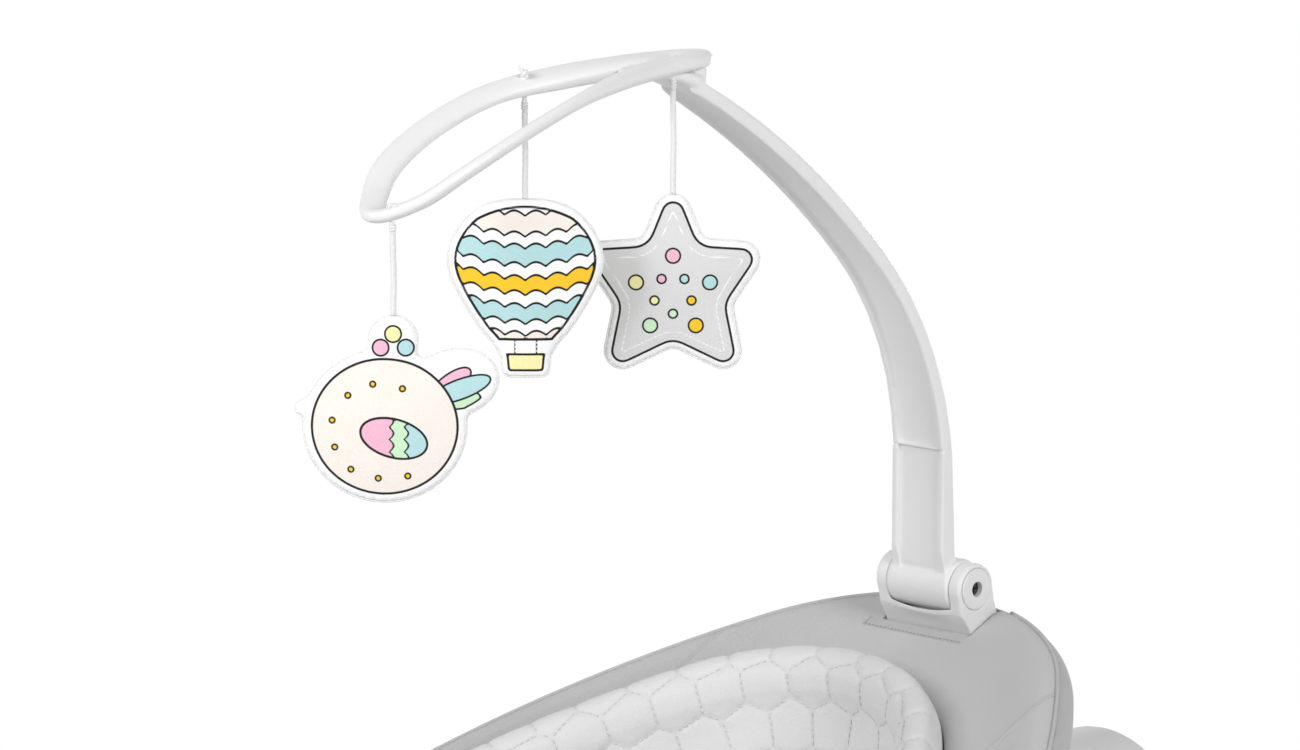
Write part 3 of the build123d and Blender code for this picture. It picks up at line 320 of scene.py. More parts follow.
def tube(path, radius, sides=10, lobes=0, pitch=1.0, closed=False):
    """Points and faces of a round or twisted tube along a path, with lobes as strands."""
    path = np.asarray(path, float)
    if closed:
        tangent = np.roll(path, -1, 0) - np.roll(path, 1, 0)
    else:
        tangent = np.gradient(path, axis=0)
    tangent = unit(tangent)
    side = unit(np.cross(tangent[0], UNLIKE_ANY_RUN))
    points = []
    angles = turns(sides)
    for at, along, length in zip(path, tangent, run_of(path)):
        side = unit(side - along * (side @ along))
        other = np.cross(along, side)
        reach = np.full(sides, radius)
        if lobes:
            strand = np.abs(np.cos(lobes / 2 * (angles - length / pitch * 2 * math.pi / lobes)))
            reach = radius * (1 - STRAND_DEPTH + STRAND_DEPTH * strand)
        points.extend(at + r * (math.cos(a) * side + math.sin(a) * other) for a, r in zip(angles, reach))
    return np.array(points), ring_faces(len(path), sides, closed)


def join(parts):
    """One list of points and faces from several."""
    points, faces, start = [], [], 0
    for some, theirs in parts:
        points.append(np.asarray(some, float))
        faces.extend(tuple(i + start for i in f) for f in theirs)
        start += len(some)
    return np.vstack(points), faces


# A stitch's thickness along its length, as shares of the whole
STITCH_SIZES = (0.35, 1.0, 1.0, 0.35)


def stitches(lines, pitch=3.2, length=2.2, radius=0.42, lift=0.1):
    """Short rounded stitches along lines of (points, normals), sunk halfway into the cloth."""
    parts = []
    for points, normals in lines:
        points, normals = np.asarray(points, float), np.asarray(normals, float)
        run = run_of(points)
        for start in np.arange(pitch * 0.3, run[-1] - length, pitch):
            at = at_lengths(run, points, np.linspace(start, start + length, len(STITCH_SIZES)))
            up = unit(at_lengths(run, normals, start))
            across = np.cross(up, unit(at[-1] - at[0]))
            corners = []
            for centre, size in zip(at + up * lift, STITCH_SIZES):
                r = radius * size
                corners += [centre + across * r, centre + up * r, centre - across * r, centre - up * r]
            parts.append((corners, ring_faces(len(STITCH_SIZES), 4)))
    return join(parts)


def mm_mesh(made):
    """Points in millimetres, as the row frame's metres, with their faces."""
    points, faces = made
    return points * MM, faces


def sew(name, lines, material, slot, **sizes):
    """Stitches of the given sizes along lines, as a piece on the seat."""
    piece(name, *mm_mesh(stitches(lines, **sizes)), material, "seat", slot)


# Finishes
def finish(name, roughness, **sockets):
    """A new material with its even values set, its node tree, its shader, and the place on the object."""
    material = bpy.data.materials.new(name)
    material.use_nodes = True
    tree = material.node_tree
    shader = tree.nodes["Principled BSDF"]
    shader.inputs["Roughness"].default_value = roughness
    for key, value in sockets.items():
        shader.inputs[key.replace("_", " ")].default_value = value
    return material, tree, shader, node(tree, "ShaderNodeTexCoord").outputs["Object"]


def node(tree, kind, inputs=None, **settings):
    """Add a node, set it up, and link or set its inputs."""
    made = tree.nodes.new(kind)
    for key, value in settings.items():
        setattr(made, key, value)
    for key, value in (inputs or {}).items():
        if isinstance(value, bpy.types.NodeSocket):
            tree.links.new(value, made.inputs[key])
        else:
            made.inputs[key].default_value = value
    return made


def feed(tree, shader, **sockets):
    """Link values that change over the surface to a shader's inputs."""
    for key, value in sockets.items():
        tree.links.new(value, shader.inputs[key.replace("_", " ")])


def grain(tree, place, scale, detail=2.0, stretch=None):
    """Noise from 0 to 1, stretched along an axis where asked."""
    if stretch:
        place = node(tree, "ShaderNodeMapping", {"Vector": place, "Scale": stretch}).outputs["Vector"]
    made = node(tree, "ShaderNodeTexNoise", {"Vector": place, "Scale": scale, "Detail": detail})
    return made.outputs["Fac"]


def math_node(tree, operation, first, second=0.0):
    return node(tree, "ShaderNodeMath", {0: first, 1: second}, operation=operation).outputs[0]


def spread(tree, value, low, high, to_low, to_high):
    """Map a value from one range to another, held at its ends."""
    return node(tree, "ShaderNodeMapRange", {
        "Value": value, "From Min": low, "From Max": high, "To Min": to_low, "To Max": to_high,
    }).outputs["Result"]


def blend_colour(tree, factor, low, high):
    """A colour between two; each is a colour or another node's output."""
    made = node(tree, "ShaderNodeMix", {"Factor": factor}, data_type="RGBA")
    for socket, value in ((made.inputs[6], low), (made.inputs[7], high)):
        if isinstance(value, bpy.types.NodeSocket):
            tree.links.new(value, socket)
        else:
            socket.default_value = (*value, 1.0)
    return made.outputs[2]


def shade(colour, share):
    """A colour made darker or lighter."""
    return tuple(min(1.0, c * share) for c in colour)


def relief(tree, shader, height, depth, normal=None):
    """Bump of a given depth in metres, on top of another normal where there is one."""
    inputs = {"Height": height, "Distance": depth, "Strength": 1.0}
    if normal is not None:
        inputs["Normal"] = normal
    made = node(tree, "ShaderNodeBump", inputs)
    feed(tree, shader, Normal=made.outputs["Normal"])


def moulded(name, colour, roughness, grain_mm, depth_mm, edge_mm=0.7, **sockets):
    """Moulded plastic: fine grain, faint flow marks and, where asked, softened edges made paler by wear and a
    painted highlight.
    """
    material, tree, shader, place = finish(name, roughness, **sockets)
    flow = grain(tree, place, 9.0, 2.0)
    fine = grain(tree, place, 1 / (grain_mm * MM), 2.0)
    base = blend_colour(tree, flow, shade(colour, 0.985), colour)
    soft = None
    if edge_mm:
        soft = node(tree, "ShaderNodeBevel", {"Radius": edge_mm * MM}, samples=4).outputs["Normal"]
        face = node(tree, "ShaderNodeNewGeometry").outputs["Normal"]
        facing = node(tree, "ShaderNodeVectorMath", {0: soft, 1: face}, operation="DOT_PRODUCT")
        # Paler along the rounded edges: wear, and a painted highlight.
        wear_and_edge_highlight = spread(tree, facing.outputs["Value"], 0.80, 0.985, 0.5, 0.0)
        base = blend_colour(tree, wear_and_edge_highlight, base, shade(colour, 1.04))
    rough = spread(tree, flow, 0.35, 0.7, roughness - 0.02, roughness + 0.04)
    feed(tree, shader, Base_Color=base, Roughness=rough)
    relief(tree, shader, fine, depth_mm * MM, soft)
    return material


def painted(name, colour, roughness):
    """Powder paint on tube: orange peel and a few dull spots."""
    material, tree, shader, place = finish(name, roughness, Coat_Weight=0.15, Coat_Roughness=0.25)
    peel = grain(tree, place, 420.0, 2.0)
    patch = grain(tree, place, 22.0, 4.0)
    rough = spread(tree, patch, 0.3, 0.7, roughness - 0.05, roughness + 0.1)
    feed(tree, shader, Base_Color=blend_colour(tree, patch, shade(colour, 0.95), colour), Roughness=rough)
    relief(tree, shader, peel, 0.06 * MM)
    return material


def metal(name, colour, roughness, stretch):
    """Drawn or turned metal with fine lines along one direction."""
    material, tree, shader, place = finish(name, roughness, Metallic=1.0, Anisotropic=0.35)
    lines = grain(tree, place, 900.0, 3.0, stretch)
    stain = grain(tree, place, 45.0, 5.0)
    base = blend_colour(tree, lines, shade(colour, 0.86), shade(colour, 1.06))
    rough = spread(tree, stain, 0.3, 0.75, roughness - 0.06, roughness + 0.14)
    feed(tree, shader, Base_Color=base, Roughness=rough)
    relief(tree, shader, lines, 0.02 * MM)
    return material


def rubber(name, colour):
    material, tree, shader, place = finish(name, 0.85, Specular_IOR_Level=0.35)
    pits = grain(tree, place, 1100.0, 3.0)
    dust = grain(tree, place, 60.0, 5.0)
    dusty = spread(tree, dust, 0.45, 0.8, 0.0, 0.5)
    feed(tree, shader, Base_Color=blend_colour(tree, dusty, colour, shade(colour, 2.2)))
    relief(tree, shader, pits, 0.12 * MM)
    return material


def windings(name, colour):
    """Enamelled wire wound round an axis along Y."""
    material, tree, shader, place = finish(name, 0.3, Metallic=0.8)
    bands = node(tree, "ShaderNodeTexWave", {"Vector": place, "Scale": 560.0, "Distortion": 0.6},
                 bands_direction="Y").outputs["Fac"]
    feed(tree, shader, Base_Color=blend_colour(tree, bands, shade(colour, 0.45), colour))
    relief(tree, shader, bands, 0.3 * MM)
    return material


def circuit(name, colour):
    """Solder mask with tracks under it."""
    material, tree, shader, place = finish(name, 0.4, Coat_Weight=0.4)
    turned = node(tree, "ShaderNodeMapping", {"Vector": place, "Rotation": (math.pi / 2, 0, 0)})
    tracks = node(tree, "ShaderNodeTexBrick", {
        "Vector": turned.outputs["Vector"], "Scale": 160.0, "Mortar Size": 0.03}).outputs["Fac"]
    patch = grain(tree, place, 300.0, 2.0)
    base = blend_colour(tree, patch, shade(colour, 0.8), colour)
    feed(tree, shader, Base_Color=blend_colour(tree, tracks, base, shade(colour, 1.9)))
    relief(tree, shader, tracks, 0.04 * MM)
    return material


def weave_height(tree, pitch_mm):
    """Over-and-under threads from a mesh's own weave coordinates, from -1 to 1."""
    place = node(tree, "ShaderNodeUVMap", uv_map="weave").outputs["UV"]
    split = node(tree, "ShaderNodeSeparateXYZ", {"Vector": place})
    turn = 2 * math.pi / (pitch_mm * MM)
    across = math_node(tree, "SINE", math_node(tree, "MULTIPLY", split.outputs["X"], turn))
    along = math_node(tree, "SINE", math_node(tree, "MULTIPLY", split.outputs["Y"], turn))
    return math_node(tree, "MULTIPLY", across, along)


def woven(name, colour, pitch_mm, depth_mm, melange=0.1, sheen=0.3):
    """Woven cloth with mixed threads and painted shade of its weave; it follows the mesh's weave coordinates.
    """
    material, tree, shader, place = finish(
        name, 0.92, Sheen_Weight=sheen, Sheen_Roughness=0.5, Specular_IOR_Level=0.2)
    height = weave_height(tree, pitch_mm)
    fibre = grain(tree, place, 1500.0, 3.0)
    fade = grain(tree, place, 12.0, 3.0)
    # The weave's height also lightens and darkens the colour: painted shade of the over and under threads,
    # mixed with the fibres' own tones.
    painted_weave_shade = math_node(tree, "MULTIPLY_ADD", height, 0.18)
    mixed = math_node(tree, "ADD", painted_weave_shade, fibre)
    base = blend_colour(tree, spread(tree, mixed, 0.2, 0.95, 0.0, 1.0),
                        shade(colour, 1 - melange), shade(colour, 1 + melange))
    base = blend_colour(tree, spread(tree, fade, 0.3, 0.7, 0.0, 0.5), base, shade(colour, 0.95))
    feed(tree, shader, Base_Color=base)
    tall = math_node(tree, "ADD", height, fibre)
    relief(tree, shader, tall, depth_mm * MM)
    return material


def knitted(name, colour, depth_mm, seam_shade_attribute=None):
    """Soft knitted cloth; painted shade, with a little dirt, makes it darker in its sewn lines where the mesh
    stores them.
    """
    material, tree, shader, place = finish(
        name, 0.95, Sheen_Weight=0.35, Sheen_Roughness=0.45, Specular_IOR_Level=0.15)
    loops = node(tree, "ShaderNodeTexVoronoi", {"Vector": place, "Scale": 1300.0}).outputs["Distance"]
    fibre = grain(tree, place, 900.0, 4.0)
    fade = grain(tree, place, 20.0, 3.0)
    base = blend_colour(tree, fibre, shade(colour, 0.93), shade(colour, 1.04))
    base = blend_colour(tree, spread(tree, fade, 0.35, 0.7, 0.0, 0.6), base, shade(colour, 0.96))
    if seam_shade_attribute:
        near = node(tree, "ShaderNodeAttribute", attribute_name=seam_shade_attribute).outputs["Fac"]
        # Darker along the sewn lines: painted shade, with a little dirt.
        base = blend_colour(tree, spread(tree, near, 0.0, 1.6, 0.35, 0.0), base, shade(colour, 0.80))
    feed(tree, shader, Base_Color=base)
    relief(tree, shader, math_node(tree, "ADD", loops, fibre), depth_mm * MM)
    return material


def thread(name, colour):
    """Sewing thread and braided cord: fine twisted strands, with painted shade between them."""
    material, tree, shader, place = finish(name, 0.8, Sheen_Weight=0.3, Specular_IOR_Level=0.25)
    twist_and_shade = node(tree, "ShaderNodeTexWave", {
        "Vector": place, "Scale": 420.0, "Distortion": 2.5, "Detail": 2.0, "Detail Scale": 3.0,
    }, bands_direction="DIAGONAL").outputs["Fac"]
    fibre = grain(tree, place, 2600.0, 3.0)
    # The colour darkens along the twist: painted shade between the strands.
    feed(tree, shader, Base_Color=blend_colour(tree, twist_and_shade, shade(colour, 0.93), colour))
    relief(tree, shader, math_node(tree, "ADD", twist_and_shade, fibre), 0.10 * MM)
    return material


def printed(name, ground, layers, ink):
    """Cotton with printed shapes. Each layer: an attribute that is negative inside, a colour, an ink line."""
    material, tree, shader, place = finish(name, 0.9, Sheen_Weight=0.2, Specular_IOR_Level=0.2)
    fibre = grain(tree, place, 1800.0, 3.0)
    threads = node(tree, "ShaderNodeTexVoronoi", {"Vector": place, "Scale": 1900.0}).outputs["Distance"]
    base = blend_colour(tree, fibre, shade(ground, 0.97), ground)
    for layer, colour, line in layers:
        inside = node(tree, "ShaderNodeAttribute", attribute_name=layer).outputs["Fac"]
        tinted = blend_colour(tree, fibre, shade(colour, 0.96), shade(colour, 1.02))
        base = blend_colour(tree, spread(tree, inside, -0.12, 0.12, 1.0, 0.0), base, tinted)
        if line:
            from_edge = math_node(tree, "ABSOLUTE", inside)
            base = blend_colour(tree, spread(tree, from_edge, line - 0.15, line + 0.15, 1.0, 0.0), base, ink)
    feed(tree, shader, Base_Color=base)
    relief(tree, shader, math_node(tree, "ADD", fibre, threads), 0.07 * MM)
    return material


WHITE = (0.80, 0.80, 0.80)
SHELL_WHITE = (0.78, 0.78, 0.79)
GREY_CLOTH = (0.53, 0.53, 0.535)
PALE_CLOTH = (0.70, 0.70, 0.70)
CORD_WHITE = (0.84, 0.84, 0.84)
INK = (0.012, 0.012, 0.013)
CREAM = (0.88, 0.82, 0.76)
TEAL = (0.46, 0.70, 0.72)
YELLOW = (0.94, 0.58, 0.03)
LEMON = (0.90, 0.84, 0.42)
PINK = (0.86, 0.48, 0.62)
MINT = (0.60, 0.83, 0.58)
STAR_GREY = (0.70, 0.70, 0.70)
COTTON = (0.92, 0.92, 0.92)

SATIN = moulded("satin_white", WHITE, 0.36, 0.5, 0.006, 1.2)
ROUNDED_SATIN = moulded("rounded_satin_white", WHITE, 0.42, 0.8, 0.003, 0.0)
SHELL = moulded("matte_shell", SHELL_WHITE, 0.52, 0.9, 0.03)
DARK = moulded("grey_panel", (0.20, 0.205, 0.215), 0.5, 0.7, 0.03)
ACCENT = moulded("accent_button", TEAL, 0.3, 0.5, 0.01)
PAINT = painted("powder_paint", (0.76, 0.76, 0.77), 0.38)
STEEL = metal("drawn_steel", (0.62, 0.62, 0.63), 0.32, (1.0, 0.08, 1.0))
# Near-black steel for the hinge screw: painted shade of the recess it sits in.
RECESS_SHADE_STEEL = metal("steel_darkened_as_recess_shade", (0.10, 0.10, 0.105), 0.38, (1.0, 1.0, 1.0))
COPPER = windings("wound_copper", (0.75, 0.36, 0.16))
BOARD = circuit("green_board", (0.02, 0.22, 0.08))
RUBBER = rubber("black_rubber", (0.03, 0.03, 0.032))
COVER_CLOTH = woven("grey_cover_cloth", GREY_CLOTH, 1.1, 0.10, 0.07)
PIPING_CLOTH = woven("grey_piping_cloth", shade(GREY_CLOTH, 0.9), 1.1, 0.08, 0.07)
QUILT_CLOTH = knitted("pale_quilt_cloth", PALE_CLOTH, 0.10, "sewn")
PILLOW_CLOTH = knitted("pale_pillow_cloth", shade(PALE_CLOTH, 1.1), 0.10)
WEBBING = woven("grey_webbing", (0.28, 0.285, 0.30), 1.6, 0.35, 0.16, 0.1)
PAD_CLOTH = knitted("pad_cloth", shade(PALE_CLOTH, 0.92), 0.12)
GREY_THREAD = thread("grey_thread", shade(GREY_CLOTH, 0.5))
PALE_THREAD = thread("pale_thread", PALE_CLOTH)
CORD = thread("white_cord_finish", CORD_WHITE)

# The hinge screw is near black: painted shade of its recess.
FINISH_OF_NODE = {"hinge_screw": RECESS_SHADE_STEEL}
FINISH_OF_SLOT = {
    "white_plastic": SATIN,
    "shell_plastic": SHELL,
    "arm_plastic": SHELL,
    "grey_plastic": DARK,
    "accent_plastic": ACCENT,
    "tube_paint": PAINT,
    "steel": STEEL,
    "copper_coil": COPPER,
    "board": BOARD,
    "rubber": RUBBER,
}


def finish_cad_nodes():
    """Give every rigid node its own finish, or the finish of its material slot."""
    for row in frame["record"]["subparts"]:
        material = FINISH_OF_NODE.get(row["node"]) or FINISH_OF_SLOT.get(row["material_slot"])
        if material is None:
            continue
        obj = NODES[row["node"]]
        if not obj.material_slots:
            obj.data.materials.append(material)
        for slot in obj.material_slots:
            slot.material = material


# Camera, light and floor
# Each lamp's place, what it points at, its size and its watts
LAMPS = {
    "left_softbox": ((-0.5, -2.8, 2.2), (0, 0.1, 0.6), 1.6, 67),
    "right_softbox": ((2.9, -0.3, 1.9), (0, 0.1, 0.6), 1.6, 53),
    "back_softbox": ((-1.7, 3.0, 0.55), (0, 0.2, 0.45), 0.8, 22),
}
AMBIENT = 0.31
FLOOR_COLOUR = (0.76, 0.76, 0.76, 1)
FLOOR_RADIUS = 6.0
# The floor turns white between these distances from the middle
FLOOR_FADE = (0.9, 1.7)
FULL_WHITE = {"Color": (1, 1, 1, 1), "Strength": 1.0}


def set_camera():
    data = bpy.data.cameras.new("photo_camera")
    data.lens = LENS_MM
    data.sensor_width = SENSOR_MM
    camera = link("photo_camera", data)
    level = math.cos(VIEW_RISE)
    back = Vector((math.sin(VIEW_TURN) * level, -math.cos(VIEW_TURN) * level, math.sin(VIEW_RISE)))
    camera.location = CAMERA_PLACE
    camera.rotation_euler = back.to_track_quat("Z", "Y").to_euler()
    bpy.context.scene.camera = camera


def lamp(name, place, target, size, watts):
    data = bpy.data.lights.new(name, "AREA")
    data.shape = "DISK"
    data.size = size
    data.energy = watts
    obj = link(name, data)
    obj.location = place
    obj.rotation_euler = (Vector(place) - Vector(target)).to_track_quat("Z", "Y").to_euler()


def light_scene():
    scene = bpy.context.scene
    scene.view_settings.view_transform = "Standard"
    for name, setting in LAMPS.items():
        lamp(name, *setting)
    world = bpy.data.worlds.new("studio")
    scene.world = world
    world.use_nodes = True
    tree = world.node_tree
    rays = node(tree, "ShaderNodeLightPath").outputs
    seen = math_node(tree, "MAXIMUM", rays["Is Camera Ray"], rays["Is Transmission Ray"])
    seen = math_node(tree, "MAXIMUM", seen, rays["Is Glossy Ray"])
    ambient = tree.nodes["Background"]
    ambient.inputs["Color"].default_value = (1, 1, 1, 1)
    ambient.inputs["Strength"].default_value = AMBIENT
    white = node(tree, "ShaderNodeBackground", FULL_WHITE)
    mixed = node(tree, "ShaderNodeMixShader", {
        0: seen, 1: ambient.outputs["Background"], 2: white.outputs["Background"]})
    tree.links.new(mixed.outputs["Shader"], tree.nodes["World Output"].inputs["Surface"])


def lay_floor():
    """A pale round floor that keeps the shadow and turns white towards its edge."""
    bpy.ops.mesh.primitive_circle_add(vertices=96, radius=FLOOR_RADIUS, fill_type="NGON")
    floor = bpy.context.object
    floor.name = "floor"
    material, tree, shader, place = finish("studio_floor", 0.9)
    shader.inputs["Base Color"].default_value = FLOOR_COLOUR
    away = node(tree, "ShaderNodeVectorMath", {0: place}, operation="LENGTH").outputs["Value"]
    rays = node(tree, "ShaderNodeLightPath").outputs
    seen = math_node(tree, "MAXIMUM", rays["Is Camera Ray"], rays["Is Glossy Ray"])
    far = math_node(tree, "MULTIPLY", spread(tree, away, *FLOOR_FADE, 0.0, 1.0), seen)
    glow = node(tree, "ShaderNodeEmission", FULL_WHITE)
    mixed = node(tree, "ShaderNodeMixShader", {
        0: far, 1: shader.outputs["BSDF"], 2: glow.outputs["Emission"]})
    tree.links.new(mixed.outputs["Shader"], tree.nodes["Material Output"].inputs["Surface"])
    floor.data.materials.append(material)


# Cords: each hangs through the toy bar's loop from a stopper knot, with a small hitch under the loop
# Each cord's length, and how far its stopper is let into the loop, in knot radii
CORDS = {"star": (48.0, 1.4), "balloon": (39.5, 0.0), "bird": (35.5, 1.0)}
OVER_LOOP = 40.0
STOPPER_RISE = 0.75
STOPPER_SIZE = 1.7
STOPPER_STRAND_R = 1.1
TAIL_R = 0.95
TAIL_REACH = 3.0
TAIL_RISE = 3.0
CORD_D = 2.8
CORD_BOW = (0.25, 0.25, 0.0)
CORD_STEP = 0.35
TIE_D = 2.4
KNOT_RADIUS = 2.6
KNOT_GAP = 0.3
HITCH_R = 1.0
HITCH_RISE = 4.2
HITCH_TURNS = 3


def nurbs_points(name, route):
    """Points along a smooth line with the route's points as its control points."""
    data = bpy.data.curves.new(name, "CURVE")
    data.dimensions = "3D"
    data.resolution_u = 24
    spline = data.splines.new("NURBS")
    spline.points.add(len(route) - 1)
    for point, at in zip(spline.points, route):
        point.co = (*at, 1.0)
    spline.order_u = 3
    spline.use_endpoint_u = True
    obj = link(name, data)
    bpy.context.view_layer.update()
    mesh = bpy.data.meshes.new_from_object(obj)
    points = np.array([v.co for v in mesh.vertices])
    bpy.data.objects.remove(obj)
    bpy.data.meshes.remove(mesh)
    return points


def knot_points(centre, size, turn):
    """An overhand knot drawn tight, as a closed line."""
    t = turns(72)
    x = np.sin(t) + 2 * np.sin(2 * t)
    y = np.cos(t) - 2 * np.cos(2 * t)
    z = -1.3 * np.sin(3 * t)
    c, s = math.cos(turn), math.sin(turn)
    return np.asarray(centre) + size / 3 * np.stack([x * c - z * s, x * s + z * c, y * 0.9], -1)


def hitch_points(centre, radius, rise, wraps):
    """A few tight turns of cord round the hanging cord, as an open line."""
    t = np.linspace(0, wraps * 2 * math.pi, 24 * wraps)
    share = t / t[-1]
    reach = radius * np.minimum(1, 12 * np.minimum(share, 1 - share) + 0.3)
    return np.asarray(centre) + np.stack([reach * np.cos(t), reach * np.sin(t), rise * (share - 0.5)], -1)


def stopper_middle(tree, knot, sunk):
    """The middle of the stopper above a knot, on the loop or let into it."""
    above = Vector(knot + (0, 0, OVER_LOOP)) * MM
    top, _, _, _ = tree.ray_cast(above, Vector((0, 0, -1)))
    return np.array(top) / MM + (0, 0, KNOT_RADIUS * (STOPPER_RISE - sunk))


def hang_cord(toy, top, length):
    """A cord from its knot down into its toy."""
    end = top - (0, 0, length)
    inset = np.array([0, 0, length * 0.2])
    route = [top, top - inset, (top + end) / 2 + CORD_BOW, end + inset, end]
    line = nurbs_points(toy + "_route", np.array(route) * MM)
    dense = resample(line / MM, CORD_STEP)
    strands = tube(dense, CORD_D / 2, 15, lobes=3, pitch=3.4)
    cord = piece(toy + "_hanging_cord", *mm_mesh(strands), CORD, toy, "white_cord")
    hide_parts(toy + "_cord")


def stopper_parts(top, stopper, sunk, turn):
    """A cord's stopper knot, its end through the loop and a short tail."""
    wound = knot_points(stopper, STOPPER_SIZE, turn + 1.0)
    out = np.array([math.cos(turn + 2.2), math.sin(turn + 2.2), 0])
    rise = np.array([0, 0, TAIL_RISE * (1 - sunk)])
    share = np.linspace(0.15, 1, 12)[:, None]
    tail = stopper + out * TAIL_REACH * share ** 1.5 + rise * share ** 0.8
    return [tube(wound, STOPPER_STRAND_R, 10, lobes=3, pitch=2.2, closed=True),
            tube(np.linspace(top, stopper, 24), TIE_D / 2, 12, lobes=3, pitch=3.0),
            tube(tail, TAIL_R, 10, lobes=3, pitch=2.2)]


def tie_cords(loop):
    """Each cord with its hitch under the loop, its end through the loop, and the stopper on top."""
    tree = tree_of(*mesh_parts(loop))
    ties = []
    for i, (toy, (length, sunk)) in enumerate(CORDS.items()):
        low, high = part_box(toy + "_knot")
        knot = np.array((low + high) / 2) / MM
        hitch = tube(hitch_points(knot, HITCH_R, HITCH_RISE, HITCH_TURNS), HITCH_RISE / HITCH_TURNS / 2, 8)
        knot_piece = piece(toy + "_hitch_knot", *mm_mesh(hitch), CORD, toy + "_hanger", "white_cord")
        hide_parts(toy + "_knot")
        top = knot - (0, 0, KNOT_RADIUS + KNOT_GAP)
        hang_cord(toy, top, length)
        turn = 0.5 + 1.1 * i
        ties += stopper_parts(top, stopper_middle(tree, knot, sunk), sunk, turn)
    stoppers = piece("cord_stoppers", *mm_mesh(join(ties)), CORD, "toy_bar", "white_cord")
    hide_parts("cord_ties")


# Toy bar and its bracket: the moulded shapes with their edges rounded off
HINGE_PLACE = np.array([0.0, 260.48, 587.40])
# Half of the loop's middle line from its tip to its root, in millimetres from the hinge: x, y, z, half width,
# half thickness, tilt in degrees
LOOP_ROWS = (
    (0.0, -366.0, 215.4, 6.0, 3.2, 0),
    (15.4, -353.6, 222.0, 6.3, 3.2, 14),
    (25.2, -336.0, 234.3, 6.4, 3.1, 23),
    (29.5, -306.5, 248.6, 6.2, 3.0, 28),
    (27.8, -272.0, 260.6, 6.4, 3.2, 27),
    (18.8, -238.0, 266.6, 7.8, 4.2, 20),
    (10.8, -206.0, 270.0, 8.2, 4.6, 10),
    (8.4, -182.0, 271.9, 7.6, 4.0, 3),
    (0.0, -169.5, 272.6, 7.4, 4.1, 0),
)
LOOP_SIDES = 24
LOOP_STEPS = 16
# How full the sections of the loop and of the arm's tip are
LOOP_POWER = 0.75
NOSE_POWER = 0.8
# The loop's root: y, z and half sizes of a rounded block
ROOT_PAD = (-184.0, 271.3, 9.5, 17.0, 3.4)
# The joint between the arm and its foot is filled to just under the surface, and the foot's channel to the
# level of the arm's: middle and half size of each block
SEAM_FILL = (
    ((0.0, -7.95, 69.1), (16.6, 2.2, 3.0)),
    ((0.0, -8.6, 40.0), (13.4, 2.5, 31.0)),
    ((-15.2, -10.8, 69.1), (1.6, 1.8, 3.0)),
    ((15.2, -10.8, 69.1), (1.6, 1.8, 3.0)),
)
# Beads that fill the gaps beside the hinge's barrel to just under its surface: distance out, ring radius,
# bead radius
BARREL_BEAD = (19.7, 12.3, 0.9)
# The lip under the barrel dips in its middle: half length, upper and lower end of the dip, its depth
LIP_DIP = (20.5, -9.0, -19.0, 2.4)
# Below the lip the bracket's front draws back: where that starts, where it is full, and how far
FRONT_LEAN = (-11.0, -27.0, 1.8)
# The foot's flanges run out above the barrel: lower and upper end, front there, and the barrel's radius
FLANGE_FADE = ((7.0, 11.5), (20.0, 13.3), 13.7)
# A block that joins the arm's end to the loop: y, half sizes, lower and upper end
NECK = (-178.0, 8.0, 10.5, 262.0, 271.0)
# The arm's tip runs out along the loop's underside: y, z, half width, half thickness
ARM_NOSE = (
    (-174.0, 261.0, 12.6, 5.4),
    (-188.0, 265.4, 12.4, 4.6),
    (-200.0, 267.8, 10.8, 3.6),
    (-211.0, 268.8, 7.2, 2.4),
    (-218.0, 269.2, 2.5, 0.8),
)


def closed_rows(rows, steps):
    """Smooth values round a closed list of rows."""
    rows = np.asarray(rows, float)
    ring = np.vstack([rows[-1:], rows, rows[:2]])
    return smooth_rows(ring, [1] + [steps] * len(rows) + [1])[1:-2]


def loop_tube():
    """A flat oval section swept round the leaf-shaped loop."""
    half = np.array(LOOP_ROWS)
    other = half[-2:0:-1] * (-1, 1, 1, 1, 1, -1)
    rows = closed_rows(np.vstack([half, other]), LOOP_STEPS)
    line, wide, thick, tilt = rows[:, :3], rows[:, 3], rows[:, 4], np.radians(rows[:, 5])
    along = unit(np.roll(line, -1, 0) - np.roll(line, 1, 0))
    up = np.stack([-np.sin(tilt), np.zeros(len(tilt)), np.cos(tilt)], -1)
    side = unit(np.cross(along, up))
    up = np.cross(side, along)
    turn = turns(LOOP_SIDES)
    flat, tall = squarish(np.cos(turn), LOOP_POWER), squarish(np.sin(turn), LOOP_POWER)
    points = (line[:, None] + side[:, None] * (wide[:, None] * flat)[..., None]
              + up[:, None] * (thick[:, None] * tall)[..., None])
    return points.reshape(-1, 3) + HINGE_PLACE, ring_faces(len(line), LOOP_SIDES, closed=True)


def arm_nose():
    """A tapering tongue of rounded sections."""
    rows = smooth_rows(ARM_NOSE, [8] * (len(ARM_NOSE) - 1))
    turn = turns(LOOP_SIDES)
    flat, tall = np.cos(turn), squarish(np.sin(turn), NOSE_POWER)
    points = [np.stack([wide * flat, np.full(LOOP_SIDES, y), z + thick * tall], -1)
              for y, z, wide, thick in rows]
    return np.vstack(points) + HINGE_PLACE, ring_faces(len(rows), LOOP_SIDES)


def pebble(middle, half, square=1.0, rows=17, cols=40):
    """A closed rounded block; a lower square makes it boxier."""
    t = turns(cols)
    x, y = half[0] * squarish(np.cos(t), square), half[1] * squarish(np.sin(t), square)
    points = []
    for a in np.radians(np.linspace(-89, 89, rows)):
        ring, rise = squarish(math.cos(a), square), squarish(math.sin(a), square)
        points.append(np.stack([x * ring, y * ring, np.full(cols, half[2] * rise)], -1))
    return np.vstack(points) + middle, ring_faces(rows, cols)


def node_mesh(name):
    """A CAD node's points in millimetres, and its faces."""
    points, faces = mesh_parts(NODES[name])
    return points / MM, faces


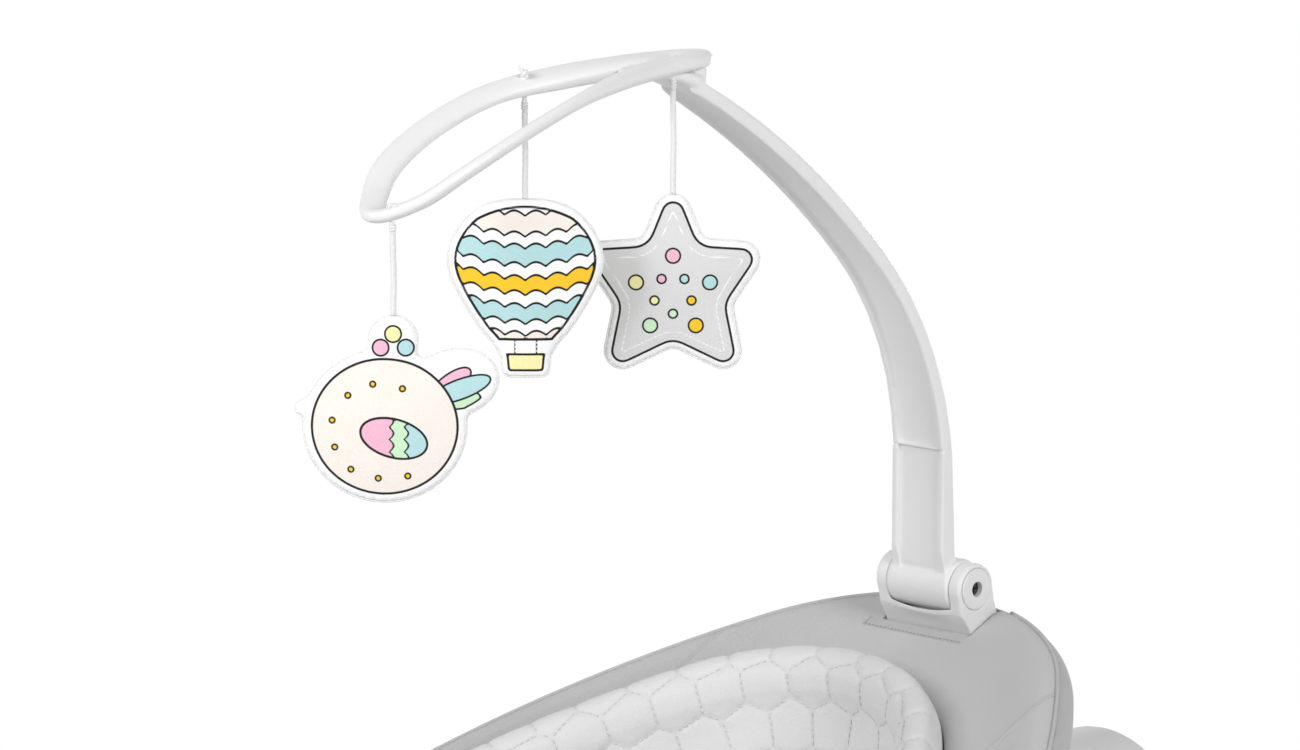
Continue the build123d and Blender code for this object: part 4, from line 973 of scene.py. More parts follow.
def relax(mesh, rounds):
    """Round a mesh's edges off by drawing each point towards its neighbours."""
    count = len(mesh.vertices)
    edges = np.zeros(len(mesh.edges) * 2, np.int32)
    mesh.edges.foreach_get("vertices", edges)
    a, b = edges.reshape(-1, 2).T
    points = get_points(mesh)
    links = (np.bincount(a, minlength=count) + np.bincount(b, minlength=count))[:, None]
    for _ in range(rounds):
        pull = np.stack([np.bincount(a, points[b, k], count) + np.bincount(b, points[a, k], count)
                         for k in range(3)], -1) / links
        points = 0.5 * (points + pull)
    set_points(mesh, points)


def moulding(name, parts, stands_for, body, voxel_mm, rounds):
    """One rounded plastic piece from closed meshes that overlap."""
    points, faces = join(parts)
    obj = piece(name, points * MM, faces, ROUNDED_SATIN, body, "white_plastic")
    voxel_remesh(obj, voxel_mm)
    relax(obj.data, rounds)
    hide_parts(stands_for)
    return obj


def barrel_beads():
    """A ring of round section at each end of the hinge's barrel."""
    out, ring_r, bead_r = BARREL_BEAD
    t = turns(72)
    ring = np.stack([0 * t, ring_r * np.cos(t), ring_r * np.sin(t)], -1)
    return [tube(HINGE_PLACE + ring + (side * out, 0, 0), bead_r, 10, closed=True) for side in (-1, 1)]


def reshape(obj, change):
    """Move a mesh's points by a function of their millimetres from the hinge."""
    moved = change(*(get_points(obj.data) / MM - HINGE_PLACE).T)
    set_points(obj.data, (np.stack(moved, -1) + HINGE_PLACE) * MM)


def curve_front(x, y, z):
    """Draw the middle of the bracket's front lip down to a shallow curve, and its foot back a little."""
    half, high, low, depth = LIP_DIP
    lean_from, lean_full, lean = FRONT_LEAN
    dip = depth * np.clip(1 - (x / half) ** 2, 0, 1) * ease(z, low, high) * (y < 0) * (z < -5)
    back = lean * np.clip((z - lean_from) / (lean_full - lean_from), 0, 1) ** 2
    # None up to 3 mm before the hinge's axis, and all of it from 9 mm
    front = np.clip(-y / 6 - 0.5, 0, 1)
    return x, y + back * front, z - dip


def fade_flanges(x, y, z):
    """Let the foot's flanges run out above the barrel."""
    (low, low_front), (high, high_front), radius = FLANGE_FADE
    front = low_front + (high_front - low_front) * ease(z, low, high)
    barrel = np.sqrt(np.maximum(radius ** 2 - z ** 2, 0))
    return x, np.where(z > 0, np.maximum(y, -np.maximum(front, barrel)), y), z


def mould_toy_bar():
    """The loop, the arm, its foot and the bracket. Returns the loop."""
    pad_y, pad_z, half_x, half_y, half_z = ROOT_PAD
    pad = pebble(HINGE_PLACE + (0, pad_y, pad_z), (half_x, half_y, half_z), 0.8)
    loop = moulding("curved_loop", [loop_tube(), pad], "toy_loop", "toy_bar", 0.6, 4)
    neck_y, half_x, half_y, low, high = NECK
    neck = pebble(HINGE_PLACE + (0, neck_y, (low + high) / 2), (half_x, half_y, (high - low) / 2), 0.35)
    moulding("channelled_arm", [node_mesh("toy_arm"), neck, arm_nose()], "toy_arm", "toy_bar", 0.6, 14)
    fill = [pebble(HINGE_PLACE + middle, half, 0.15) for middle, half in SEAM_FILL]
    foot_parts = [node_mesh("arm_base"), *fill, *barrel_beads()]
    foot = moulding("arm_foot", foot_parts, "arm_base", "toy_bar", 0.5, 6)
    reshape(foot, fade_flanges)
    relax(foot.data, 4)
    bracket = moulding("hinge_bracket", [node_mesh("toy_bracket")], "toy_bracket", "seat", 0.5, 6)
    reshape(bracket, curve_front)
    return loop


# Hung toys: flat stuffed shapes with printed cotton
TOY_RIGHT = np.array([math.cos(VIEW_TURN), math.sin(VIEW_TURN), 0.0])
TOY_FACING = np.array([math.sin(VIEW_TURN), -math.cos(VIEW_TURN), 0.0])
TOY_UP = np.array([0.0, 0.0, 1.0])
TOY_STEP = 1.1
TOY_HALF = 4.4
TOY_EDGE = 1.1
TOY_EDGE_REACH = 0.7
TOY_DIMPLE = 0.06
CROWN_ROUNDS = 90
BORDER = 3.6
INK_LINE = 0.55
WELT_R = 0.4
PUCKER = 0.2
PUCKER_FOLDS = 46
PUCKER_REACH = 3.0


def in_toy(flat):
    """Points of a toy's own plane, from its middle."""
    return flat[:, :1] * TOY_RIGHT + flat[:, 1:] * TOY_UP


def toy_outline(toy):
    """The widest outline of a toy's node, in order, in millimetres from its middle, and that middle."""
    points, polygons = node_mesh(toy + "_toy")
    middle = (points.min(0) + points.max(0)) / 2
    local = points - middle
    flat = np.stack([local @ TOY_RIGHT, local @ TOY_UP], -1)
    depth = local @ TOY_FACING
    rim = {i for i in range(len(points)) if abs(depth[i]) < 0.02}
    key = {i: tuple(np.round(flat[i], 2)) for i in rim}
    following = {}
    for ids in polygons:
        for a, b in zip(ids, ids[1:] + ids[:1]):
            if a in rim and b in rim and key[a] != key[b]:
                following.setdefault(key[a], set()).add(key[b])
                following.setdefault(key[b], set()).add(key[a])
    left = set(following)
    loop = [min(left)]
    left.discard(loop[0])
    while left:
        linked = following[loop[-1]] & left
        step = min(linked or left, key=lambda k: math.dist(k, loop[-1]))
        loop.append(step)
        left.discard(step)
    closed = np.array(loop + loop[:1])
    even = resample(np.c_[closed, np.zeros(len(closed))], TOY_STEP)[:-1, :2]
    for _ in range(2):
        even = 0.5 * even + 0.25 * (np.roll(even, 1, 0) + np.roll(even, -1, 0))
    return even, middle


def edge_distance(points, loop):
    """Distance from points to a closed outline."""
    a, b = loop, np.roll(loop, -1, 0)
    span = b - a
    t = np.einsum("ijk,jk->ij", points[:, None] - a[None], span) / (span ** 2).sum(1)
    near = a[None] + np.clip(t, 0, 1)[..., None] * span[None]
    return np.linalg.norm(points[:, None] - near, axis=-1).min(1)


def inside_loop(points, loop):
    a, b = loop, np.roll(loop, -1, 0)
    crosses = (a[None, :, 1] > points[:, None, 1]) != (b[None, :, 1] > points[:, None, 1])
    rise = np.where(np.abs(b[:, 1] - a[:, 1]) < 1e-9, 1e-9, b[:, 1] - a[:, 1])
    x = a[:, 0] + (points[:, None, 1] - a[:, 1]) * (b - a)[:, 0] / rise
    return (crosses & (points[:, None, 0] < x)).sum(1) % 2 == 1


def disc(p, x, y, radius):
    return np.hypot(p[:, 0] - x, p[:, 1] - y) - radius


def star_print(p, deep):
    """Grey star with an echo line and small dots."""
    echo_at, echo_half = 8.0, 0.35
    echo = np.abs(deep - echo_at) - echo_half
    layers = [("body", BORDER - deep, STAR_GREY, INK_LINE), ("echo", echo, COTTON, 0)]
    middle_y, far, near = -5.5, 18.0, 9.0
    large, small = 3.4, 2.1
    colours = (
        ("rose_dots", PINK, 90),
        ("lemon_dots", LEMON, 162),
        ("mint_dots", MINT, 234),
        ("teal_dots", TEAL, 18),
        ("gold_dots", YELLOW, 306),
    )
    for name, colour, turn in colours:
        a = math.radians(turn)
        spots = [disc(p, far * math.cos(a), middle_y + far * math.sin(a), large)]
        a += math.radians(36)
        spots.append(disc(p, near * math.cos(a), middle_y + near * math.sin(a), small))
        layers.append((name, np.minimum.reduce(spots), colour, INK_LINE * 0.8))
    return layers


def balloon_print(p, deep):
    """Balloon with scalloped bands across it and a plain basket."""
    inside = BORDER - deep
    body_end, basket_top = -23.5, -30.5
    crown_r = 46.0
    crown = disc(p, 0.0, p[:, 1].max() - BORDER - crown_r, crown_r)
    body = np.maximum.reduce([inside, crown, body_end - p[:, 1]])
    layers = [("body", body, COTTON, 0)]
    bands = (
        ("cream_band", 24.0, 33.5, CREAM),
        ("teal_band", 10.0, 18.5, TEAL),
        ("gold_band", -3.0, 4.0, YELLOW),
        ("lower_teal_band", -16.5, -9.0, TEAL),
        ("low_band", -28.0, -22.0, CREAM),
    )
    scallop, scallop_width, bow = 2.4, 9.5, 0.006
    wave = scallop * np.abs(np.sin(p[:, 0] * math.pi / scallop_width)) + bow * p[:, 0] ** 2
    for name, low, high, colour in bands:
        band = np.maximum(low - (p[:, 1] - wave), (p[:, 1] - wave) - high)
        layers.append((name, np.maximum(band, body), colour, INK_LINE))
    layers.append(("outline", np.abs(body) - 0.05, INK, INK_LINE))
    basket = np.maximum(inside - 0.4, p[:, 1] - basket_top)
    layers.append(("basket", basket, LEMON, INK_LINE))
    rope_x, rope_half = 5.0, 0.1
    ropes = np.minimum(np.abs(p[:, 0] - rope_x), np.abs(p[:, 0] + rope_x)) - rope_half
    ropes = np.maximum(ropes, np.maximum(p[:, 1] - body_end, basket_top - p[:, 1]))
    layers.append(("ropes", ropes, INK, 0.3))
    return layers


def turned_oval(p, x, y, long, wide, turn):
    """Nearly the distance to a turned ellipse, negative inside."""
    c, s = math.cos(math.radians(turn)), math.sin(math.radians(turn))
    u, v = (p[:, 0] - x) * c + (p[:, 1] - y) * s, (p[:, 1] - y) * c - (p[:, 0] - x) * s
    size = np.hypot(u / long, v / wide)
    return size * (size - 1) / np.maximum(np.hypot(u / long ** 2, v / wide ** 2), 1e-6)


def bird_print(p, deep):
    """Plain round bird with dots, a scalloped wing, a three-bar tail and a crest of three balls."""
    inside = BORDER - deep
    layers = []
    root_x, root_y, bar_half = 14.0, 4.0, 4.4
    tail = (("tail_low", MINT, 3, 11.0), ("tail_high", PINK, 37, 11.0), ("tail_middle", TEAL, 20, 14.0))
    for name, colour, turn, half in tail:
        a = math.radians(turn)
        x, y = root_x + (half + 1) * math.cos(a), root_y + (half + 1) * math.sin(a)
        bar = turned_oval(p, x, y, half, bar_half, turn)
        layers.append((name, np.maximum(bar, inside), colour, INK_LINE * 0.8))
    body_x, body_y = -5.3, -7.5
    body = turned_oval(p, body_x, body_y, 32.0, 30.0, 0)
    layers.append(("body", body, CREAM, INK_LINE))
    crest = (
        ("crest_left", -6.8, 27.5, PINK),
        ("crest_right", 4.2, 27.5, TEAL),
        ("crest_top", -1.3, 33.5, LEMON),
    )
    ball_r, dot_r = 3.6, 1.3
    for name, x, y, colour in crest:
        layers.append((name, disc(p, x, y, ball_r), colour, INK_LINE * 0.8))
    wing = turned_oval(p, body_x + 4.0, body_y - 5.0, 15.0, 8.5, -16)
    layers.append(("wing", wing, PINK, INK_LINE))
    for i, (name, colour) in enumerate((("wing_middle", MINT), ("wing_end", TEAL))):
        x = p[:, 0] - body_x - 2.0 - 6.5 * i
        feather = x - 2.0 * np.abs(np.sin((p[:, 1] - body_y) * math.pi / 5.5))
        layers.append((name, np.maximum(wing, -feather), colour, INK_LINE * 0.8))
    spots = ((-16, 14), (-5, 19), (8, 17), (-23, 3), (-22, -9), (-15, -19), (-3, -23), (10, -22))
    dots = np.minimum.reduce([disc(p, body_x + x, body_y + y, dot_r) for x, y in spots])
    layers.append(("body_dots", dots, YELLOW, INK_LINE * 0.7))
    return layers


PRINTS = {"star": star_print, "balloon": balloon_print, "bird": bird_print}


def settle(values, triangles, fixed, rounds):
    """Even out values over a mesh by averaging each with its neighbours, apart from the fixed ones."""
    pairs = np.array([(f[i], f[i - 1]) for f in triangles for i in range(3)])
    a, b = np.vstack([pairs, pairs[:, ::-1]]).T
    links = np.bincount(a, minlength=len(values))
    for _ in range(rounds):
        around = np.bincount(a, values[b], len(values)) / np.maximum(links, 1)
        values = np.where(fixed, values, 0.5 * (values + around))
    return values


def toy_sheet(loop):
    """Points and triangles that fill a toy's outline."""
    low, high = loop.min(0), loop.max(0)
    xs = np.arange(low[0], high[0], TOY_STEP)
    ys = np.arange(low[1], high[1], TOY_STEP * 0.866)
    grid = np.array([(x + TOY_STEP / 2 * (j % 2), y) for j, y in enumerate(ys) for x in xs])
    grid = grid[inside_loop(grid, loop)]
    grid = grid[edge_distance(grid, loop) > TOY_STEP * 0.7]
    count = len(loop)
    seeds = [Vector(p) for p in np.vstack([loop, grid])]
    edges = [(i, (i + 1) % count) for i in range(count)]
    flat, _, triangles, _, _, _ = delaunay_2d_cdt(seeds, edges, [list(range(count))], 1, 1e-5)
    return np.array([tuple(v) for v in flat]), triangles


def sew_toy(toy):
    """Two printed faces sewn round an outline and stuffed."""
    loop, middle = toy_outline(toy)
    flat, triangles = toy_sheet(loop)
    deep = edge_distance(flat, loop)
    deep[deep < 1e-4] = 0.0
    on_seam = deep == 0
    share = np.clip(deep / deep.max(), 0, 1)
    crown = settle(share * (2 - share), triangles, on_seam, CROWN_ROUNDS)
    height = TOY_EDGE * (1 - np.exp(-deep / TOY_EDGE_REACH)) + (TOY_HALF - TOY_EDGE) * crown
    height *= 1 + TOY_DIMPLE * ruffle(np.c_[flat, np.zeros(len(flat))], 0.09, 3.0)
    folds = np.sin(np.arctan2(flat[:, 1], flat[:, 0]) * PUCKER_FOLDS)
    pucker = PUCKER * folds * np.exp(-deep / PUCKER_REACH) * ~on_seam

    back_ids = np.where(~on_seam)[0]
    order = np.arange(len(flat))
    order[back_ids] = len(flat) + np.arange(len(back_ids))
    front = in_toy(flat) + (pucker + height)[:, None] * TOY_FACING
    back = in_toy(flat) + (pucker - height)[:, None] * TOY_FACING
    points = np.vstack([front, back[back_ids]]) + middle
    faces = [tuple(f) for f in triangles] + [tuple(int(order[i]) for i in reversed(f)) for f in triangles]

    layers = PRINTS[toy](flat, deep)
    inks = [(toy + "_" + name, colour, line) for name, _, colour, line in layers]
    material = printed(toy + "_print", COTTON, inks, INK)
    obj = piece(toy + "_stuffed", points * MM, faces, material, toy, "toy_fabric")
    for name, values, _, _ in layers:
        attribute(obj, toy + "_" + name, np.r_[values, values[back_ids]])
    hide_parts(toy + "_toy")

    welt = tube(in_toy(loop) + middle, WELT_R, 6, closed=True)
    piece(toy + "_edge_seam", *mm_mesh(welt), CORD, toy, "toy_fabric")


# Seat cover
COVER_COLUMNS = 720
SAG_OUTSIDE = 1.6
SAG_INSIDE = 0.55
PANEL_SEAM_X = 108.0
PANEL_SEAM_ENDS = ((243.0, 299.5), (-252.0, -299.5))
BINDING = (2.4, 0.8)
PIPING_ANGLE = math.radians(50)
PIPING_R = 1.2
PIPING_SIDES = 10
PIPING_COLUMNS = 480
PIPING_STEP = 3.6
BRACKET_HALF = 29.5
HEM_WIDTH = 7.0
HEM_THICKNESS = 0.75
# The slot round the bracket: its ends along u, and along n
BRACKET_SLOT = (328.0, 353.5, -13.3, 30.0)
# The notches at the seat's bow: inner end along x, half length along u, ends along n
BOW_NOTCH = (184.5, 23.0, -30.0, 24.0)
BEYOND_RIM = 240


def cover_levels():
    """Rows of the cover's section: up its inside, over the flange and the rim's roll, down its outside."""
    inside = hollow_levels(0.0)
    levels = [*closing_rows(inside[0], 4)[::-1], *smooth_rows(inside, [3, 3, 3, 4])]
    length, width, radius, shift, _ = inside[-1]
    lip = [(length + 1, width + 1, radius + 1, shift, 11.0), (length + 4, width + 4, radius + 3, shift, 12.6)]
    flange = [(length + 16, width + 9, radius + 5, shift * 0.7, 12.0),
              (length + 36, width + 18, radius + 8, shift * 0.4, 12.2),
              (RIM[0] - 8, RIM[1] - 5, RIM[2] - 4, 0.0, 13.3)]
    levels += list(smooth_rows(lip + flange, [2, 5, 8, 7]))
    for angle in np.radians(np.linspace(92, -86, 22)):
        out = ROLL * math.cos(angle)
        levels.append((RIM[0] + out, RIM[1] + out, RIM[2] + out, 0.0, ROLL * math.sin(angle)))
    skin = [(RIM[0] - along, RIM[1] - across, (RIM[1] - across) * roundness, shift, n)
            for n, along, across, roundness, shift in SKIN_ROWS]
    return [*levels, *smooth_rows(skin, [6, 14, 12, 12]), *closing_rows(skin[-1], 10)]


def cut(obj, low, high):
    """Cut a box of seat coordinates out of a mesh."""
    (x0, u0, n0), (x1, u1, n1) = low, high
    corners = [(x, u, n) for n in (n0, n1) for u in (u0, u1) for x in (x0, x1)]
    faces = [(0, 2, 3, 1), (4, 5, 7, 6), (0, 1, 5, 4), (2, 6, 7, 3), (0, 4, 6, 2), (1, 3, 7, 5)]
    mesh = bpy.data.meshes.new("cutter")
    mesh.from_pydata(seat_to_row(corners).tolist(), [], faces)
    cutter = link("cutter", mesh)
    modifier = obj.modifiers.new("cut", "BOOLEAN")
    modifier.object = cutter
    modifier.operation = "DIFFERENCE"
    modifier.solver = "EXACT"
    bake_modifiers(obj, smooth=False)
    bpy.data.objects.remove(cutter)


def drop_on(tree, x, u, lift=0.0, above=60.0):
    """The first point under (x, u) along -n on a mesh in the row frame, lifted off it, and its normal."""
    start = Vector(seat_to_row((x, u, above)))
    down = Vector((0.0, math.sin(SEAT_TILT), -math.cos(SEAT_TILT)))
    hit, normal, _, _ = tree.ray_cast(start, down)
    if hit is None:
        return None
    if normal.dot(down) > 0:
        normal = -normal
    return np.array(hit) / MM + np.array(normal) * lift, np.array(normal)


def drop_line(tree, spots, lift):
    """Points and normals on a mesh under points (x, u)."""
    found = [drop_on(tree, x, u, lift) for x, u in spots]
    return [np.array(values) for values in zip(*[f for f in found if f is not None])]


def ribbon(middles, normals, width, thickness, sides=16, power=3.0):
    """A flat band along points, with rounded edges, its underside on the points."""
    middles, normals = np.asarray(middles, float), np.asarray(normals, float)
    tangent = unit(np.gradient(middles, axis=0))
    across = unit(np.cross(tangent, normals))
    up = np.cross(across, tangent)
    angles = turns(sides) + math.pi / sides
    x = squarish(np.cos(angles), 2 / power / 1.6) * width / 2
    y = (squarish(np.sin(angles), 2 / power) + 1) * thickness / 2
    points = middles[:, None] + across[:, None] * x[None, :, None] + up[:, None] * y[None, :, None]
    uv = np.stack(np.broadcast_arrays(x[None, :], run_of(middles)[:, None]), -1) * MM
    return points.reshape(-1, 3), ring_faces(len(middles), sides), uv.reshape(-1, 2)


def sew_cover():
    """The fabric cover, a little slack, with a notch at each end of the bow and a slot at the bracket."""
    grid = rings(cover_levels(), even_headings(COVER_COLUMNS))
    flat = grid.reshape(-1, 3)
    normals = grid_normals(grid).reshape(-1, 3)
    outside = flat[:, 2] < -16
    soft = 0.9 * ruffle(flat * (1, 1, 1.5), 0.011, 1.0) + 0.35 * ruffle(flat, 0.035, 7.0)
    sag = np.where(outside, SAG_OUTSIDE, SAG_INSIDE) * soft
    sag *= np.clip((np.hypot(flat[:, 0] / RIM[1], flat[:, 1] / RIM[0]) - 0.3) * 3, 0, 1)
    flat = flat + normals * sag[:, None]
    points = seat_to_row(flat)
    faces = ring_faces(len(grid), COVER_COLUMNS)
    obj = piece("fabric_cover", points, faces, COVER_CLOTH, "seat", "grey_fabric", ring_uvs(grid))
    whole = tree_of(points, faces)
    for side in (-1, 1):
        near, half, n0, n1 = BOW_NOTCH
        x0, x1 = sorted((side * near, side * BEYOND_RIM))
        cut(obj, (x0, -half, n0), (x1, half, n1))
    u0, u1, n0, n1 = BRACKET_SLOT
    cut(obj, (-BRACKET_HALF, u0, n0), (BRACKET_HALF, u1, n1))
    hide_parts("seat_cover")
    bind_cover(whole)
    pipe_cover()


def bind_cover(tree):
    """Panel seams, and the slot's front hem with its topstitching."""
    strips = []
    for side in (-1, 1):
        for ends in PANEL_SEAM_ENDS:
            seam = drop_line(tree, [(side * PANEL_SEAM_X, u) for u in np.linspace(*ends, 24)], -0.35)
            strips.append(ribbon(*seam, *BINDING))
    hem_u, hem_left = BRACKET_SLOT[0] - HEM_WIDTH / 2, -BRACKET_HALF - 7.0
    hem = drop_line(tree, [(x, hem_u) for x in np.linspace(hem_left, BRACKET_HALF - 1.0, 40)], -0.25)
    strips.append(ribbon(*hem, HEM_WIDTH, HEM_THICKNESS, 20, 5.0))
    sewn_u = hem_u - HEM_WIDTH / 2 + 0.7
    sewn = drop_line(tree, [(x, sewn_u) for x in np.linspace(hem_left, BRACKET_HALF, 40)], 0.4)
    made = join([(p, f) for p, f, _ in strips])
    uv = np.vstack([u for _, _, u in strips])
    piece("cover_bindings", *mm_mesh(made), PIPING_CLOTH, "seat", "grey_fabric", uv)
    sew("cover_topstitching", [sewn], GREY_THREAD, "grey_fabric", pitch=2.5, length=1.9, radius=0.34)


def pipe_cover():
    """Piping round the rim, broken at the bow and the bracket."""
    reach = ROLL + PIPING_R * 0.55
    out = reach * math.cos(PIPING_ANGLE)
    ring = oval(RIM[0] + out, RIM[1] + out, RIM[2] + out, 0.0, even_headings(PIPING_COLUMNS))
    line = np.c_[ring, np.full(len(ring), reach * math.sin(PIPING_ANGLE))]
    clear_bow = np.abs(line[:, 1]) > BOW_NOTCH[1] + 2.5
    clear_bracket = ~((np.abs(line[:, 0]) < BRACKET_HALF + 2.0) & (line[:, 1] > 0))
    keep = clear_bow & clear_bracket
    order = np.roll(np.arange(len(line)), -int(np.argmin(keep)))
    runs = np.split(order, np.where(np.diff(keep[order].astype(int)))[0] + 1)
    tubes = [tube(seat_to_row(line[run]) / MM, PIPING_R, PIPING_SIDES) for run in runs if keep[run[0]]]
    points, faces = join(tubes)
    rows = len(points) // PIPING_SIDES
    uv = np.zeros((len(points), 2))
    uv[:, 0] = np.tile(turns(PIPING_SIDES), rows) * PIPING_R
    uv[:, 1] = np.repeat(np.arange(rows), PIPING_SIDES) * PIPING_STEP
    piece("cover_piping", points * MM, faces, PIPING_CLOTH, "seat", "grey_fabric", uv * MM)


# Quilted insert
INSERT_COLUMNS = 900
EDGE_STEPS = 5
# Section of the insert's upper edge: distance in from its outer wall, and n
INSERT_EDGE = ((0.0, 8.0), (-1.2, 17.0), (0.3, 25.0), (3.2, 28.9), (7.5, 30.0), (13.5, 28.4), (19.0, 23.5),
               (22.0, 15.0), (22.0, 8.0))
QUILT_WIDTH = 26.0
QUILT_ROW = 22.0
# Depths of the quilting's dents, and how far from a sewn line they reach
QUILT_DEPTH = 0.5
QUILT_REACH = 8.0
SEWN_DEPTH = 0.6
SEWN_REACH = 1.4
CREASE_DEPTH = 0.4
CREASE_REACH = 5.0
SLACK_DEPTH = 0.4
QUILT_LINE_STEP = 2.0
LINING_REACH = 6
LINING_ROUNDS = 16


def insert_levels():
    """Rows of the insert's section: up its back, over its rolled edge and down its inside."""
    back, inside = hollow_levels(SOFT_GAP), hollow_levels(INSERT_THICKNESS + SOFT_GAP)
    levels = [*closing_rows(back[0], 3)[::-1], *smooth_rows(back, [2, 3, 4, 5])[:-1]]
    length, width, radius, shift, _ = back[-1]
    edge = [(length - d, width - d, radius - d, shift, n) for d, n in INSERT_EDGE]
    levels += list(smooth_rows(edge, [EDGE_STEPS] * (len(edge) - 1))[:-1])
    return [*levels, *smooth_rows(inside, [26, 26, 32, 34])[::-1], *closing_rows(inside[0], 26)]


def quilt_seeds(grid):
    """Middles of the quilting's six-sided cells: staggered rows down the lining, moved about a little."""
    rng = np.random.default_rng(11)
    start = int(np.argmax(grid[:, 0, 2])) - 2 * EDGE_STEPS
    count = 0
    step = np.diff(grid[start:], axis=0, prepend=grid[start:start + 1])
    along = np.linalg.norm(step, axis=-1).mean(1).cumsum()
    seeds = []
    for i, depth in enumerate(np.arange(6.0, along[-1], QUILT_ROW)):
        ring = grid[start + int(np.searchsorted(along, depth))]
        closed = np.vstack([ring, ring[:1]])
        run = run_of(closed)
        if not count or run[-1] / count < 0.75 * QUILT_WIDTH:
            count = max(3, int(round(run[-1] / QUILT_WIDTH)))
        spots = (np.arange(count) + 0.5 * (i % 2) + rng.uniform(-0.1, 0.1, count)) / count % 1 * run[-1]
        seeds.append(at_lengths(run, closed, spots))
    seeds = np.vstack(seeds)
    return seeds + rng.uniform(-1.5, 1.5, seeds.shape)


def cell_edges(points, seeds):
    """For each point: its nearest and next cell, and the distance to the line between them."""
    tree = KDTree(len(seeds))
    for i, seed in enumerate(seeds):
        tree.insert(seed, i)
    tree.balance()
    found = [tree.find_n(p, 2) for p in points]
    order = np.array([[i for _, i, _ in two] for two in found])
    pair = np.array([[d for _, _, d in two] for two in found])
    apart = np.linalg.norm(seeds[order[:, 0]] - seeds[order[:, 1]], axis=1)
    return order, (pair[:, 1] ** 2 - pair[:, 0] ** 2) / (2 * apart)


def quilt_lines(points, normals, nearest, seeds, visible_from, columns):
    """Sewn lines between cells, as runs of points with normals."""
    found = {}
    rows = len(points) // columns
    for i in range(visible_from, rows - 4):
        for j in range(columns):
            a = i * columns + j
            for b in (i * columns + (j + 1) % columns, a + columns):
                if b >= len(points) or nearest[a] == nearest[b]:
                    continue
                s, t = sorted((nearest[a], nearest[b]))
                da = np.linalg.norm(points[a] - seeds[s]) - np.linalg.norm(points[a] - seeds[t])
                db = np.linalg.norm(points[b] - seeds[s]) - np.linalg.norm(points[b] - seeds[t])
                k = da / (da - db) if abs(da - db) > 1e-9 else 0.5
                found.setdefault((s, t), []).append((points[a] + (points[b] - points[a]) * k, normals[a]))
    lines = []
    for (s, t), spots in found.items():
        at = np.array([p for p, _ in spots])
        up = np.array([n for _, n in spots])
        if len(at) < 4:
            continue
        way = np.cross(up.mean(0), seeds[t] - seeds[s])
        order = np.argsort(at @ way)
        lines.append((at[order], up[order]))
    return lines


def lining_tree():
    """Search tree of the CAD insert's faces."""
    return tree_of(*mesh_parts(NODES["seat_insert"]))


def fit_lining(grid, crest):
    """Lay the insert's inside on the CAD's, and even it out."""
    shape = lining_tree()
    for i in range(crest + 4 * EDGE_STEPS + 2, len(grid)):
        for j in range(INSERT_COLUMNS):
            near, _, _, gap = shape.find_nearest(Vector(seat_to_row(grid[i, j])))
            if gap < LINING_REACH * MM:
                grid[i, j] = row_to_seat(np.array(near))
    inner = grid[crest + 3 * EDGE_STEPS:]
    for _ in range(LINING_ROUNDS):
        inner[:] = (inner + (np.roll(inner, 1, 1) + np.roll(inner, -1, 1)) / 2) / 2
        inner[1:-1] = 0.5 * inner[1:-1] + 0.25 * (inner[:-2] + inner[2:])


def sew_insert():
    """The quilted lining, with cells pressed in along sewn lines."""
    grid = rings(insert_levels(), even_headings(INSERT_COLUMNS))
    crest = int(np.argmax(grid[:, 0, 2]))
    fit_lining(grid, crest)
    flat = grid.reshape(-1, 3)
    normals = grid_normals(grid).reshape(-1, 3)
    seeds = quilt_seeds(grid)
    order, edge = cell_edges(flat, seeds)
    shown = np.repeat(np.arange(len(grid)) > crest - 3 * EDGE_STEPS, INSERT_COLUMNS)
    dent = QUILT_DEPTH * np.exp(-edge / QUILT_REACH) + SEWN_DEPTH * np.exp(-(edge / SEWN_REACH) ** 2)
    creases = CREASE_DEPTH * np.exp(-edge / CREASE_REACH) * ruffle(flat, 0.16, 4.0)
    dent += creases + SLACK_DEPTH * ruffle(flat, 0.03, 9.0)
    dent = np.where(shown, np.maximum(dent, 0), 0)
    moved = flat - normals * dent[:, None]
    points = seat_to_row(moved)
    faces = ring_faces(len(grid), INSERT_COLUMNS)
    obj = piece("quilted_insert", points, faces, QUILT_CLOTH, "seat", "pale_fabric", ring_uvs(grid))
    # Distance to the sewn lines, which the cloth's finish darkens with painted shade and a little dirt.
    attribute(obj, "sewn", np.where(shown, edge, 9.0))
    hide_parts("seat_insert")
    lines = quilt_lines(moved, normals, order[:, 0], seeds, crest - 2 * EDGE_STEPS, INSERT_COLUMNS)
    runs = []
    for at, up in lines:
        line = resample(seat_to_row(at) / MM, QUILT_LINE_STEP)
        pick = np.linspace(0, len(at) - 1, len(line)).round().astype(int)
        runs.append((line, (seat_to_row(at[pick] + up[pick]) - seat_to_row(at[pick])) / MM))
    sew("quilt_stitching", runs, PALE_THREAD, "pale_fabric", pitch=3.4, length=2.3, radius=0.36, lift=0.15)


# Pillow and harness
PILLOW_MIDDLE = (0.0, 162.0, -80.0)
PILLOW_HALF = (82.0, 50.0, 20.0)
PILLOW_LEAN = math.radians(24)
PILLOW_POWER = 0.62
PILLOW_PRESSURE = 4.0
PILLOW_SWELL = 7.0
PILLOW_GAP = 0.6


